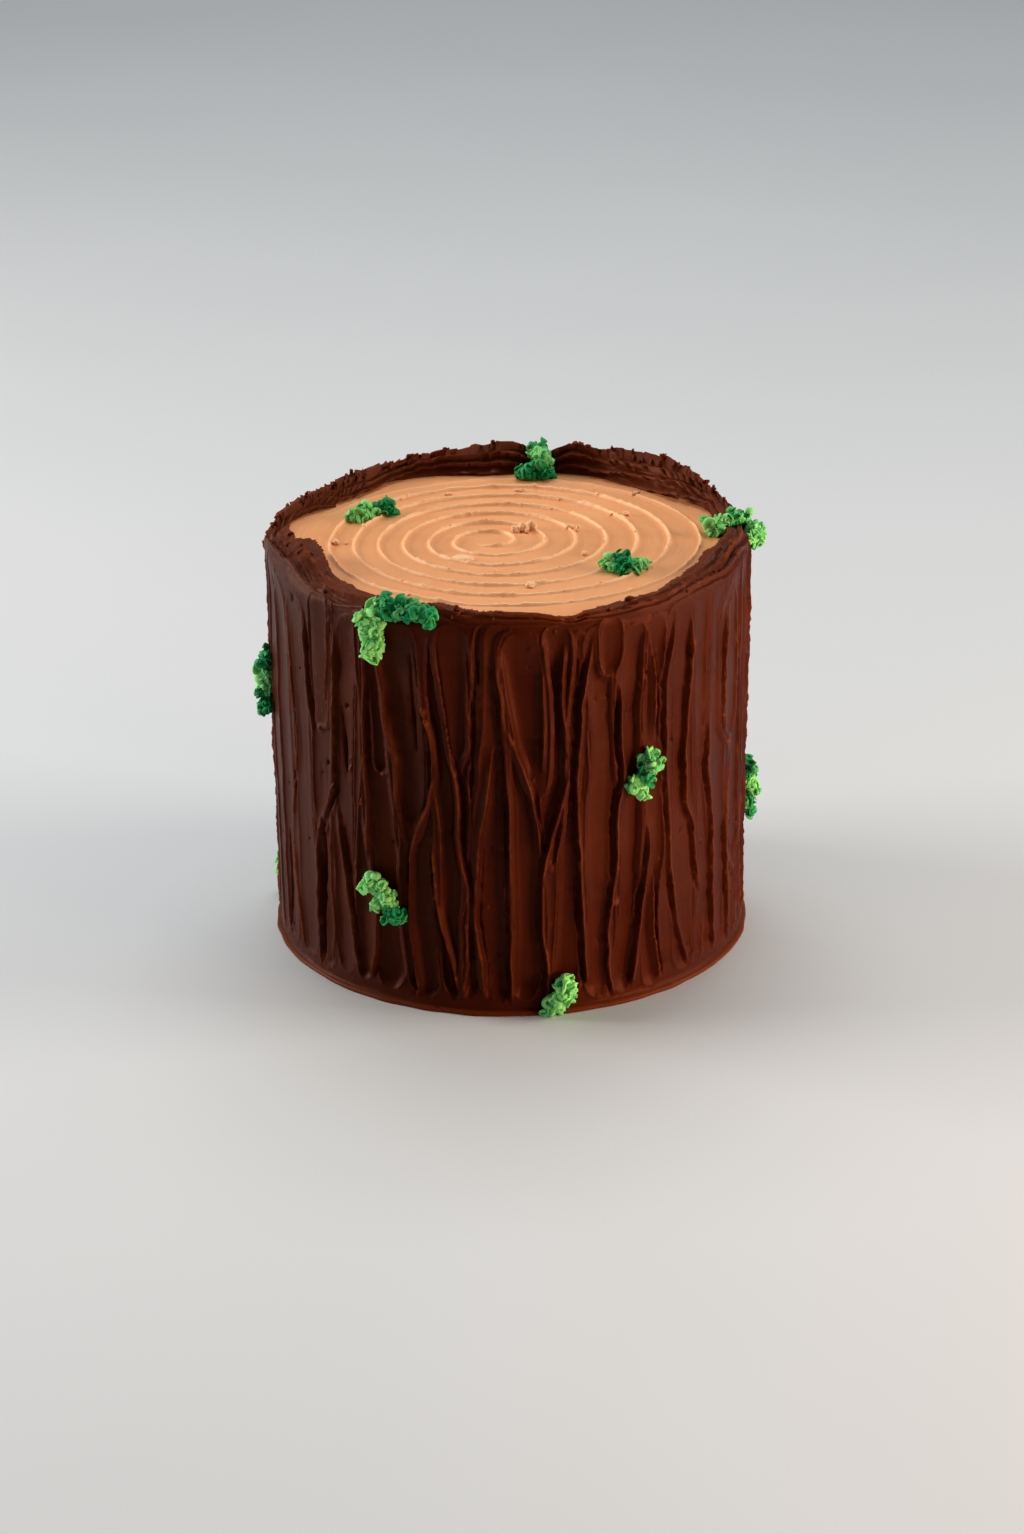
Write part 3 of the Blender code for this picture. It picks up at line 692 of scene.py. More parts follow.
def dimple(relief, angles, heights, angle, height, radius, lift):
    """A small round pit where an air bubble broke, or a small lump."""
    rows = np.nonzero(np.abs(heights - height) < 3 * radius)[0]
    reach = math.degrees(3 * radius / WALL_RADIUS)
    columns = np.nonzero(np.abs(degrees_off(angles, angle)) < reach)[0]
    across = np.radians(degrees_off(angles[columns], angle)) * WALL_RADIUS
    away = (across[None, :] ** 2 + (heights[rows][:, None] - height) ** 2) / radius**2
    relief[np.ix_(rows, columns)] += lift * np.exp(-(away**1.5))


def press_slot(relief, angles, heights, slot, draw):
    """A narrow dark gap left between two strokes."""
    low, high, foot, head, width, depth = slot
    share = np.clip((heights - foot * MM) / ((head - foot) * MM), 0.0, 1.0)
    middle = low + (high - low) * share + waver(draw, heights, 12, 0.25)
    across = np.radians(degrees_off(angles[None, :], middle[:, None])) * WALL_RADIUS
    taper = np.sqrt(np.maximum(4 * share * (1 - share), 0.0)) * (0.8 + waver(draw, heights, 40, 0.3))
    half = np.maximum(width * MM / 2 * taper, 1e-6)[:, None]
    relief -= depth * MM * taper[:, None] * np.exp(-((across / half) ** 4))


def crown_path(share, outer, inner, crest, torn):
    """Radius and height along the collar, from the wall's top (share 0) over the crest to inside (1)."""
    turn = math.pi * share[:, None]
    half = (outer - inner)[None, :] / 2
    middle = (outer + inner)[None, :] / 2
    lean = 0.42 * np.clip(torn - 0.2, 0.0, 1.0)[None, :]
    radius = middle + half * np.cos(turn) + lean * half * np.sin(turn)
    start = WALL_TOP + (ROUND_HEIGHT - 2.2 * MM - WALL_TOP) * share[:, None]
    height = start + (crest[None, :] - start) * np.sin(turn) ** (0.75 - 0.1 * torn[None, :])
    return radius, height


def wall_relief(draw, angles, run):
    """How far the worked icing stands out from a plain wall."""
    relief = np.full((len(run), COLUMNS), -0.1 * STROKE_DEPTH)
    for number, stroke in enumerate(all_strokes()):
        press_stroke(relief, angles, run, stroke, number, draw)
    for ridge in all_ridges():
        raise_ridge(relief, angles, run, ridge, draw)
    for slot in SLOTS:
        press_slot(relief, angles, run, slot, draw)
    for where, level in PITS:
        dimple(relief, angles, run, where, level * MM, 0.8 * MM, -1.1 * MM)
    for where, level in BUMPS:
        dimple(relief, angles, run, where, level * MM, 1.2 * MM, 0.9 * MM)
    # Each row: how many, smallest and largest size, lowest and highest place, and lift, in mm.
    small_marks = ((SMALL_PITS, 0.35, 0.7, 8, 128, -0.6), (SMALL_BUMPS, 0.5, 1.1, 6, 130, 0.45))
    for count, small, large, low, high, lift in small_marks:
        for _ in range(count):
            size = draw.uniform(small, large) * MM
            where = draw.uniform(0, 360)
            dimple(relief, angles, run, where, draw.uniform(low, high) * MM, size, lift * MM)
    return relief


def collar_relief(draw, over, around, torn):
    """How far the collar's folds stand out, and where each fold's torn edge is, from 0 to 1.

    The collar is folded over in sheets that run round it, each with a thin torn edge.
    """
    wander = drift(draw, over * 1.5, around, 2, 13) * 3.2
    wander = wander + drift(draw, over * 4, around, 5, 40) * 0.5
    ragged = (drift(draw, over * 9, around, 10, 170) - 0.5) * 0.09
    broad = (over * SHEET_TURNS + wander + ragged) % 1.0
    narrow = over * SLIVER_TURNS - wander * 1.7 + ragged * 2 + drift(draw, over * 3, around, 4, 60)
    sheets = broad**2.4 * 3.4 - 1.2
    slivers = (narrow % 1.0) ** 1.6 * 0.5 - 0.2
    slabs = drift(draw, over * 2.5, around, 4, 26) - 0.5
    relief = (sheets + slivers + slabs * 2.2) * MM * (0.22 + 0.85 * torn)[None, :]
    # Spikes are pulled up along the crest in a few places.
    gusts = drift(draw, over * 0, around, 1, 31)
    spikes = np.clip(drift(draw, over * 4, around, 5, 300) * 1.8 - 0.8, 0.0, 1.0)
    at_crest = np.exp(-(((over - 0.38) / 0.08) ** 2)) * (over > 0)
    wildness = np.clip((gusts - 0.6) / 0.2, 0.0, 1.0) * np.clip(torn - 0.2, 0, 1)[None, :]
    return relief + spikes * at_crest * SPIKE_LENGTH * wildness, broad


def bark_surface():
    """Rows of points from the foot to inside the collar, with what the colours need to know."""
    draw = np.random.default_rng(STROKES_SEED)
    angles = np.arange(COLUMNS) * 360.0 / COLUMNS
    level = np.zeros(COLUMNS)
    torn = round_the_turn(ROUGHNESS_ROUND, angles)
    crest = round_the_turn(COLLAR_HEIGHTS, angles) * MM
    crest = crest + (drift(draw, level, angles, 1, 40) - 0.5) * 1.7 * MM
    crest = crest + (drift(draw, level, angles, 1, 120) - 0.5) * 1.0 * MM * (0.3 + torn)
    inner = COLLAR_INNER_RADIUS - round_the_turn(COLLAR_EDGE, angles) * MM
    inner = inner + (drift(draw, level, angles, 1, 44) - 0.5) * 2.4 * MM
    inner = inner + (drift(draw, level, angles, 1, 21) - 0.5) * 2.0 * MM
    wall = np.linspace(FOOT_HEIGHT + 0.3 * MM, WALL_TOP, WALL_ROWS, endpoint=False)
    share = np.linspace(0.0, 1.0, CROWN_ROWS)
    outer = np.full(COLUMNS, WALL_RADIUS + WALL_FLARE)
    radius_over, height_over = crown_path(share, outer, inner, crest, torn)
    flared = (WALL_RADIUS + WALL_FLARE * wall / WALL_TOP)[:, None]
    radius = np.vstack([np.repeat(flared, COLUMNS, 1), radius_over])
    height = np.vstack([np.repeat(wall[:, None], COLUMNS, 1), height_over])
    # Which way the icing faces, in the plane through the cake's axis
    d_radius = np.gradient(radius, axis=0)
    d_height = np.gradient(height, axis=0)
    length = np.maximum(np.hypot(d_radius, d_height), 1e-9)
    # Knife strokes run up the wall and die out on the collar's shoulder.
    run = np.concatenate([wall, WALL_TOP + share * 22 * MM])
    relief = wall_relief(draw, angles, run)
    around = np.repeat(angles[None, :], len(run), 0)
    up = run[:, None] + around * 0
    over = np.concatenate([np.zeros(WALL_ROWS), share])[:, None] + around * 0
    ridge = np.clip(relief / (0.8 * LIP_HEIGHT), 0.0, 1.0)
    soft = drift(draw, up / 0.011, around, 15, 64) - 0.5
    grain = drift(draw, up / 0.0016, around, 100, 300) - 0.5
    relief = relief + SWELL * soft + GRAIN * grain * ridge
    # The foot is scraped plain by the turning table's edge.
    relief = relief * np.clip((up - SCRAPED_HEIGHT) / SCRAPED_SPAN, 0.0, 1.0)
    crown, folds = collar_relief(draw, over, around, torn)
    on_crown = np.clip((run[:, None] - SHOULDER_START) / SHOULDER_SPAN, 0.0, 1.0)
    sinks = np.clip((1.0 - over) / 0.08, 0.0, 1.0)
    relief = relief * (1 - on_crown) + crown * on_crown * sinks
    radius = radius + relief * d_height / length
    height = height - relief * d_radius / length
    # Painted highlight: lips and ridges, the torn edges of the folds and the smooth parts of the rim are
    # painted paler, stored under ridge.
    painted_highlight = np.clip(relief / HIGHLIGHT_HEIGHT, 0.0, 1.0) * (1 - on_crown)
    painted_highlight = np.maximum(painted_highlight, folds**6 * on_crown * FOLD_HIGHLIGHT)
    lit_rim = np.exp(-(((over - 0.3) / 0.2) ** 2)) * (over > 0) * (1 - torn)[None, :] * RIM_HIGHLIGHT
    painted_highlight = np.maximum(painted_highlight, lit_rim)
    patches = drift(draw, over * 14, around, 15, 90)
    smear = np.clip((over - 0.9) / 0.04, 0, 1) * np.clip((patches - 0.78) / 0.05, 0, 1)
    return np.radians(angles), radius, height, {"ridge": painted_highlight, "smear": smear, "collar": over}


def revolve(name, turn, radius, height, marks):
    """A closed mesh from rows of points round the axis, with a pole at each end of the rows."""
    rows, columns = radius.shape
    x = radius * np.sin(turn)[None, :]
    y = -radius * np.cos(turn)[None, :]
    points = np.stack([x, y, height], axis=-1).reshape(-1, 3)
    poles = [[0.0, 0.0, height[0].mean()], [0.0, 0.0, height[-1].mean()]]
    points = np.vstack([points, poles])
    row, column = np.meshgrid(np.arange(rows - 1), np.arange(columns), indexing="ij")
    beside = (column + 1) % columns
    here = row * columns
    above = here + columns
    quads = np.stack([here + column, here + beside, above + beside, above + column], axis=-1).reshape(-1, 4)
    ring = np.arange(columns)
    after = (ring + 1) % columns
    bottom = np.stack([np.full(columns, rows * columns), after, ring], axis=-1)
    last = (rows - 1) * columns
    top = np.stack([np.full(columns, rows * columns + 1), last + ring, last + after], axis=-1)
    mesh = bpy.data.meshes.new(name)
    mesh.from_pydata(points.tolist(), [], quads.tolist() + bottom.tolist() + top.tolist())
    for label, values in marks.items():
        layer = mesh.attributes.new(label, "FLOAT", "POINT")
        flat = np.concatenate([values.ravel(), [values[0].mean(), values[-1].mean()]])
        layer.data.foreach_set("value", flat.astype(np.float32))
    mesh.shade_smooth()
    return new_object(name, mesh)


def chocolate_bark(material):
    """The wall, foot, underside and collar of chocolate buttercream, in one closed piece."""
    turn, radius, height, marks = bark_surface()
    columns = len(turn)
    draw = np.random.default_rng(FOOT_SEED)
    proud = FOOT_PROUD * (0.75 + 0.5 * drift(draw, np.zeros(columns), np.degrees(turn), 1, 70))
    first = radius[0]
    foot_rows = (
        (first - 2.0 * MM, 0.0),
        (first + proud - 0.4 * MM, 0.0),
        (first + proud, 0.4 * MM),
        (first + proud * 0.96, 0.75 * FOOT_HEIGHT),
        (first + proud * 0.4, FOOT_HEIGHT),
    )
    inside_rows = (
        (radius[-1] - 0.6 * MM, ROUND_UNDERSIDE + 1.0 * MM),
        (radius[-1] - 5.0 * MM, ROUND_UNDERSIDE),
        (radius[-1] * 0.3, ROUND_UNDERSIDE),
    )
    ones = np.ones(columns)
    radius = np.vstack([*(r for r, _ in foot_rows), radius, *(r for r, _ in inside_rows)])
    height = np.vstack([*(z * ones for _, z in foot_rows), height, *(z * ones for _, z in inside_rows)])
    # The foot ledge is painted pale too: a painted highlight along it.
    for label, values in marks.items():
        foot = np.full((len(foot_rows), columns), FOOT_HIGHLIGHT if label == "ridge" else 0.0)
        marks[label] = np.vstack([foot, values, np.zeros((len(inside_rows), columns))])
    obj = revolve("chocolate_bark", turn, radius, height, marks)
    thin_out(obj, BARK_TRIANGLES)
    obj.data.materials.append(material)
    return obj


def spiral_tree():
    """Geometry nodes that raise the knife's spiral lip and drag lines on a flat round of icing."""
    sizes = {
        "Pitch": SPIRAL_PITCH,
        "Start": SPIRAL_START,
        "End": SPIRAL_END,
        "Offset": SPIRAL_OFFSET,
        "Lip Height": SPIRAL_LIP,
        "Lip Width": SPIRAL_LIP_WIDTH,
        "Hollow": SPIRAL_HOLLOW,
        "Drag Height": SPIRAL_DRAG,
        "Top Height": ROUND_HEIGHT,
    }
    tree, given = geometry_tree("spiral_icing", sizes)
    position = add(tree, "GeometryNodeInputPosition").outputs[0]
    x, y, z = (Flow(part) for part in add(tree, "ShaderNodeSeparateXYZ", position).outputs)
    flat = joined(tree, x, y, 0.0)
    # The spiral drifts off centre towards its start, so its own radius is found in a few steps.
    mean = vector_calc(tree, "LENGTH", flat)
    for _ in range(3):
        shift = (1.0 - mean / given["End"]) * given["Offset"]
        mean = vector_calc(tree, "LENGTH", joined(tree, x + shift, y, 0.0))
    turn = calc(tree, "FRACT", calc(tree, "ARCTAN2", y, x + shift) / FULL_TURN)
    wobble = (cloud(tree, flat, 42.0) - 0.5) * 0.2
    count = (mean - given["Start"]) / given["Pitch"] - turn + wobble
    share = calc(tree, "FRACT", count)
    # The lip stands at the outer side of each groove: it rises slowly and falls away steeply outside.
    away = share * given["Pitch"] / given["Lip Width"]
    fall = calc(tree, "EXPONENT", away**1.6 * -1.0)
    began = spread(tree, mean, 0.42 * SPIRAL_START, 0.7 * SPIRAL_START)
    ended = spread(tree, mean, SPIRAL_END + 5.5 * MM, SPIRAL_END - 2.0 * MM)
    patchy = spread(tree, cloud(tree, flat, 130.0, 3.0), 0.32, 0.62, 0.6, 1.25)
    lip = calc(tree, "MAXIMUM", share**20.0, fall) * began * (ended * patchy)
    # Each groove's floor falls away outwards, to the foot of the next lip.
    hollow = share * (1.0 - share**18.0) * given["Hollow"] * (began * ended)
    # Fine drag lines follow the turn; torn crumbs gather on the lip.
    around = turn * FULL_TURN
    along = joined(tree, count * 5.0, calc(tree, "SINE", around), calc(tree, "COSINE", around))
    lines = cloud(tree, along, 1.7, 3.0, 0.6) - 0.5
    swell = (cloud(tree, flat, 26.0) - 0.5) * (1.0 * MM)
    torn = (cloud(tree, flat, 620.0) - 0.5) * lip
    lift = lip * given["Lip Height"] - hollow + lines * (given["Drag Height"] * 4.0)
    lift = lift + swell + torn * (1.1 * MM)
    # Only the upper face takes the relief.
    upper = calc(tree, "GREATER_THAN", z, given["Top Height"] - 0.01 * MM)
    move = joined(tree, 0.0, 0.0, lift * upper)
    moved = add(tree, "GeometryNodeSetPosition", given["Geometry"], sockets={"Offset": move}).outputs[0]
    # The lip share is stored as ridge, from which the caramel is painted paler: a painted highlight on the
    # lips.
    close_tree(tree, mark(tree, moved, "ridge", lip * upper), given["Material"])
    return tree


def caramel_spiral(material):
    """The caramel buttercream inside the collar."""
    turn = np.arange(ROUND_COLUMNS) * FULL_TURN / ROUND_COLUMNS
    edge = COLLAR_INNER_RADIUS - round_the_turn(COLLAR_EDGE, np.degrees(turn)) * MM + 2.2 * MM
    edge = np.minimum(edge, WALL_RADIUS - 2.6 * MM)
    # Ring by ring from the underside's middle, round the edge, to the middle of the top
    under = np.vstack([edge * 0.3, edge * 0.97])
    under_height = np.full((2, ROUND_COLUMNS), ROUND_UNDERSIDE + 0.2 * MM)
    ring = np.linspace(0.0, 1.0, ROUND_RINGS + 1)[:0:-1][:, None] * ROUND_RADIUS
    grown = ring * (1 + (edge / ROUND_RADIUS - 1)[None, :] * (ring / ROUND_RADIUS) ** 6)
    radius = np.vstack([under, grown])
    height = np.vstack([under_height, np.full(grown.shape, ROUND_HEIGHT)])
    obj = revolve("caramel_spiral", turn, radius, height, {})
    grow(obj, spiral_tree(), material)
    thin_out(obj, ROUND_TRIANGLES)
    return obj


def lump(name, place, size, torn, seed, material):
    """A lump of icing where the knife was lifted: smooth when torn is 0, shredded when it is 1."""
    form = bmesh.new()
    bmesh.ops.create_icosphere(form, subdivisions=5, radius=1.0)
    draw = random.Random(seed)
    ways = []
    for _ in range(14):
        way = Vector([draw.gauss(0, 1) for _ in range(3)]).normalized()
        ways.append((way, draw.uniform(0.3, 1.0)))
    shift = Vector([draw.uniform(0, 50) for _ in range(3)])
    for vertex in form.verts:
        way = vertex.co.normalized()
        shreds = sum(max(0.0, way.dot(other)) ** 30 * reach for other, reach in ways)
        creases = abs(noise.noise(way * 2.6 + shift)) * 1.6 + abs(noise.noise(way * 6.0 + shift)) * 0.7
        vertex.co = way * (0.8 + torn * (0.5 * shreds - 0.42 * creases))
    turn = Matrix.Rotation(draw.uniform(0, math.pi), 4, "Z")
    scale = Matrix.Diagonal((*size, 1.0))
    bmesh.ops.transform(form, matrix=Matrix.Translation(place) @ turn @ scale, verts=form.verts)
    mesh = bpy.data.meshes.new(name)
    form.to_mesh(mesh)
    form.free()
    mesh.shade_smooth()
    mesh.materials.append(material)
    # Each lump is painted paler through its ridge value: a painted highlight, also on the collar flakes.
    ridge = mesh.attributes.new("ridge", "FLOAT", "POINT")
    ridge.data.foreach_set("value", [LUMP_HIGHLIGHT] * len(mesh.vertices))
    return new_object(name, mesh)


def collar_tears(bark, material):
    """Torn flakes of icing that stand on the highest line of the collar."""
    points = np.empty(len(bark.data.vertices) * 3, dtype=np.float32)
    bark.data.vertices.foreach_get("co", points)
    points = points.reshape(-1, 3)
    points = points[points[:, 2] > ROUND_HEIGHT]
    turn = np.degrees(np.arctan2(points[:, 0], -points[:, 1])) % 360.0
    flakes = []
    for number, (angle, size) in enumerate(COLLAR_TEARS):
        near = points[np.abs(turn - angle) < 0.6]
        top = near[near[:, 2].argmax()]
        place = (float(top[0]), float(top[1]), float(top[2]) - 0.1 * size * MM)
        form = (size * MM, 0.55 * size * MM, 0.8 * size * MM)
        flakes.append(lump(f"collar_flake_{number}", place, form, 1.0, number + FLAKES_SEED, material))
    return flakes


def scatter_tree():
    """Geometry nodes that scatter small torn bits of icing over a surface, where an attribute allows."""
    numbers = {"Bits": 200000.0, "Smallest": 0.4 * MM, "Largest": 1.3 * MM, "Stretch": 1.8, "Seed": 1}
    tree, given = geometry_tree("torn_bits", numbers)
    spots = strewn(tree, given, given["Bits"] * marked(tree, "torn"))
    bit = add(tree, "GeometryNodeMeshIcoSphere", 1.0, 2).outputs[0]
    place = add(tree, "GeometryNodeInputPosition").outputs[0]
    dented = scaled(tree, place, cloud(tree, place, 1.6, 1.0) + 0.55)
    shaped = add(tree, "GeometryNodeSetPosition", bit, sockets={"Position": dented}).outputs[0]
    turned = chance(tree, (0.0, 0.0, 0.0), (FULL_TURN, FULL_TURN, FULL_TURN))
    size = chance(tree, given["Smallest"], given["Largest"])
    stretched = joined(tree, size, size * 0.55, size * given["Stretch"])
    bits = copies(tree, spots["Points"], smoothed(tree, shaped), turned, stretched)
    close_tree(tree, bits, given["Material"])
    return tree


def moss_tree():
    """Geometry nodes that grow curled strands of buttercream from a clump's core."""
    numbers = {
        "Strands": STRANDS_PER_AREA,
        "Length": STRAND_LENGTH,
        "Thickness": STRAND_RADIUS,
        "Curl": STRAND_CURL,
        "Low End": (0.0, 0.0, 0.0),
        "High End": (0.0, 0.0, 1.0),
        "Low Tone": 0.0,
        "Middle Tone": 0.5,
        "High Tone": 1.0,
        "Seed": 1,
    }
    tree, given = geometry_tree("moss_strands", numbers)
    spots = strewn(tree, given, given["Strands"])
    # A strand's tone follows its place along the clump.
    place = add(tree, "GeometryNodeInputPosition").outputs[0]
    whole = vector_calc(tree, "SUBTRACT", given["High End"], given["Low End"])
    part = vector_calc(tree, "SUBTRACT", place, given["Low End"])
    share = vector_calc(tree, "DOT_PRODUCT", part, whole) / vector_calc(tree, "DOT_PRODUCT", whole, whole)
    share = share + (cloud(tree, place, 260.0) - 0.5) * 0.5
    low, middle, high = (given[name + " Tone"] for name in ("Low", "Middle", "High"))
    tone = low + spread(tree, share, 0.3, 0.42) * (middle - low)
    tone = tone + spread(tree, share, 0.6, 0.72) * (high - middle)
    tone = tone + chance(tree, -TONE_CHANCE, TONE_CHANCE)
    # A strand starts as a curl of one turn that leans away from the surface at random.
    curl = {"Resolution": 11, "Rotations": 1.0, "Start Radius": 0.9, "End Radius": 0.45, "Height": 1.3}
    curl = add(tree, "GeometryNodeCurveSpiral", sockets=curl).outputs[0]
    leaning = chance(tree, (-STRAND_LEAN,) * 3, (STRAND_LEAN,) * 3)
    way = vector_calc(tree, "ADD", spots["Normal"], leaning)
    aim = add(tree, "FunctionNodeAlignRotationToVector", axis="Z", sockets={"Vector": way}).outputs[0]
    reach = chance(tree, 0.7, 1.25, seed=4) * given["Length"]
    toned = mark(tree, spots["Points"], "tone", tone)
    real = add(tree, "GeometryNodeRealizeInstances", copies(tree, toned, curl, aim, reach)).outputs[0]
    # Each strand curls its own way, more towards its tip.
    factor = Flow(add(tree, "GeometryNodeSplineParameter").outputs["Factor"])
    swirl = add(tree, "ShaderNodeTexNoise", sockets={"Vector": place, "Scale": 340.0, "Detail": 1.0})
    bend = vector_calc(tree, "SUBTRACT", swirl.outputs["Color"], (0.5, 0.5, 0.5))
    pull = scaled(tree, bend, factor * given["Curl"] * 3.2)
    curled = add(tree, "GeometryNodeSetPosition", real, sockets={"Offset": pull}).outputs[0]
    # Round ends: the strand keeps its thickness and closes over the last stretch.
    tip = calc(tree, "SQRT", 1.0 - (factor * 0.93) ** 9.0)
    lumpy = spread(tree, cloud(tree, place, 900.0, 0.0), 0.3, 0.7, 0.8, 1.25)
    swollen = spread(tree, marked(tree, "tone"), 0.4, 1.0, 1.0, 1.4)
    width = tip * lumpy * (swollen * given["Thickness"])
    sized = add(tree, "GeometryNodeSetCurveRadius", curled, sockets={"Radius": width}).outputs[0]
    ring = add(tree, "GeometryNodeCurvePrimitiveCircle", 8, sockets={"Radius": 1.0}).outputs[0]
    flattened = add(tree, "GeometryNodeTransform", ring, sockets={"Scale": (0.62, 1.75, 1.0)}).outputs[0]
    radius = add(tree, "GeometryNodeInputRadius").outputs[0]
    tube = add(tree, "GeometryNodeCurveToMesh", sized, flattened, radius, True).outputs[0]
    # The core has no tone, so it takes the darkest green: painted shade in the gaps between strands.
    both = add(tree, "GeometryNodeJoinGeometry", given["Geometry"])
    feed(both.inputs[0], smoothed(tree, tube))
    close_tree(tree, both.outputs[0], given["Material"])
    return tree


def moss_core(node, shrink):
    """A closed copy of a clump's solid, drawn in a little so that strands can cover it."""
    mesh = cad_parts[node].data.copy()
    mesh.materials.clear()
    form = bmesh.new()
    form.from_mesh(mesh)
    bmesh.ops.remove_doubles(form, verts=form.verts, dist=1e-6)
    form.normal_update()
    for vertex, way in [(v, v.normal.copy()) for v in form.verts]:
        vertex.co -= way * shrink
    form.to_mesh(mesh)
    form.free()
    mesh.shade_smooth()
    obj = new_object(node + "_strands", mesh)
    obj.matrix_world = Matrix.Identity(4)
    return obj


def long_axis(obj):
    """The two ends of a mesh along its longest direction, the lower or left one first."""
    points = np.array([v.co for v in obj.data.vertices])
    middle = points.mean(axis=0)
    _, _, ways = np.linalg.svd(points - middle, full_matrices=False)
    along = (points - middle) @ ways[0]
    ends = [middle + ways[0] * along.min(), middle + ways[0] * along.max()]
    ends.sort(key=lambda end: end[2] * 2 + end[0])
    return tuple(map(float, ends[0])), tuple(map(float, ends[1]))


def moss_clump(node, tree, material, seed):
    """Curled strands in place of one moss solid."""
    # The clump at the foot is looser than the rest.
    shrink, share = (2.4 * MM, 0.8) if node == "moss_foot" else (CORE_SHRINK, 1.0)
    obj = moss_core(node, shrink)
    low, high = long_axis(obj)
    names = ("low_tone", "middle_tone", "high_tone")
    tones = dict(zip(names, MOSS_TONES[node]))
    strands = STRANDS_PER_AREA * share
    grow(obj, tree, material, low_end=low, high_end=high, strands=strands, seed=seed, **tones)
    for vertex in obj.data.vertices:
        vertex.co.z = max(vertex.co.z, LOWEST_MOSS)
    return obj


def worked_icing_group():
    """Marks that a knife leaves in buttercream: fine drag lines, broken bubbles and cloudy tone."""
    group = bpy.data.node_groups.new("worked_icing", "ShaderNodeTree")
    numbers = {"Across": 900.0, "Along": 60.0, "Bubbles": 420.0, "Cloud Scale": 40.0}
    for label, value in numbers.items():
        socket = group.interface.new_socket(label, in_out="INPUT", socket_type="NodeSocketFloat")
        socket.default_value = value
    for label in ("Drag", "Pits", "Clouds"):
        group.interface.new_socket(label, in_out="OUTPUT", socket_type="NodeSocketFloat")
    given = add(group, "NodeGroupInput").outputs
    place = add(group, "ShaderNodeTexCoord").outputs["Object"]
    stretch = joined(group, given["Across"], given["Across"], given["Along"])
    lines = cloud(group, vector_calc(group, "MULTIPLY", place, stretch), 1.0, 3.0, 0.6)
    bubbles = add(group, "ShaderNodeTexVoronoi", sockets={"Vector": place, "Scale": given["Bubbles"]})
    pits = spread(group, bubbles.outputs["Distance"], 0.06, 0.14, 1.0, 0.0)
    add(group, "NodeGroupOutput", lines, pits, cloud(group, place, given["Cloud Scale"], 3.0))
    return group


def new_material(name, roughness):
    material = bpy.data.materials.new(name)
    material.use_nodes = True
    shader = material.node_tree.nodes["Principled BSDF"]
    shader.inputs["Roughness"].default_value = roughness
    return material, material.node_tree, shader


def attribute(tree, name):
    return Flow(add(tree, "ShaderNodeAttribute", attribute_name=name).outputs["Fac"])


def new_icing(name, roughness, group, **values):
    """An icing material with a copy of the knife's marks, each as a number."""
    material, tree, shader = new_material(name, roughness)
    node = add(tree, "ShaderNodeGroup", node_tree=group)
    for label, value in values.items():
        feed(node.inputs[label.replace("_", " ").title()], value)
    return material, tree, shader, {socket.name: Flow(socket) for socket in node.outputs}


def finish_icing(tree, shader, base, satin, height, depth, strength, **values):
    """Joins up an icing: its colour, its roughness, its fine relief and the rest as plain values."""
    raised = {"Height": height, "Distance": depth, "Strength": strength}
    feed(shader.inputs["Normal"], add(tree, "ShaderNodeBump", sockets=raised).outputs["Normal"])
    feed(shader.inputs["Base Color"], base)
    feed(shader.inputs["Roughness"], satin)
    for label, value in values.items():
        shader.inputs[label.replace("_", " ").title().replace("Ior", "IOR")].default_value = value


def chocolate_icing(group):
    """Satin chocolate buttercream, nearly black, painted orange brown on its lips, ridges, foot and flakes as
    a painted highlight, lighter on the collar as painted light, and darker in its bubble pits as painted
    shade.
    """
    sizes = {"across": 820.0, "along": 42.0, "bubbles": 360.0, "cloud_scale": 34.0}
    material, tree, shader, marks = new_icing("chocolate_buttercream", 0.42, group, **sizes)
    base = mix_colour(tree, spread(tree, marks["Clouds"], 0.3, 0.7), CHOCOLATE_DARK, CHOCOLATE_LIGHT)
    # Painted highlight: where the ridge attribute is high (lips, ridges, fold edges, rim, foot, flakes) the
    # colour goes paler orange brown.
    base = mix_colour(tree, spread(tree, attribute(tree, "ridge"), 0.15, 1.0, 0.0, 0.75), base, CHOCOLATE_LIP_HIGHLIGHT)
    # Painted light: the collar from its crest inwards is painted lighter.
    collar = spread(tree, attribute(tree, "collar"), 0.25, 0.55, 0.0, 0.8)
    base = mix_colour(tree, collar, base, CHOCOLATE_COLLAR_LIT)
    # Painted shade: the bubble pits are painted darker.
    base = mix_colour(tree, marks["Pits"] * 0.5, base, CHOCOLATE_PIT_SHADE)
    base = mix_colour(tree, spread(tree, attribute(tree, "smear"), 0.1, 0.9, 0.0, 0.85), base, CARAMEL_SMEAR)
    finish_icing(
        tree,
        shader,
        base,
        spread(tree, marks["Drag"], 0.3, 0.7, 0.42, 0.55),
        marks["Drag"] - marks["Pits"] * 0.8,
        depth=0.12 * MM,
        strength=0.55,
        specular_ior_level=0.145,
        specular_tint=(1.0, 0.30, 0.14, 1.0),
        subsurface_weight=0.12,
        subsurface_radius=(1.0, 0.3, 0.12),
        subsurface_scale=1.8 * MM,
    )
    return material


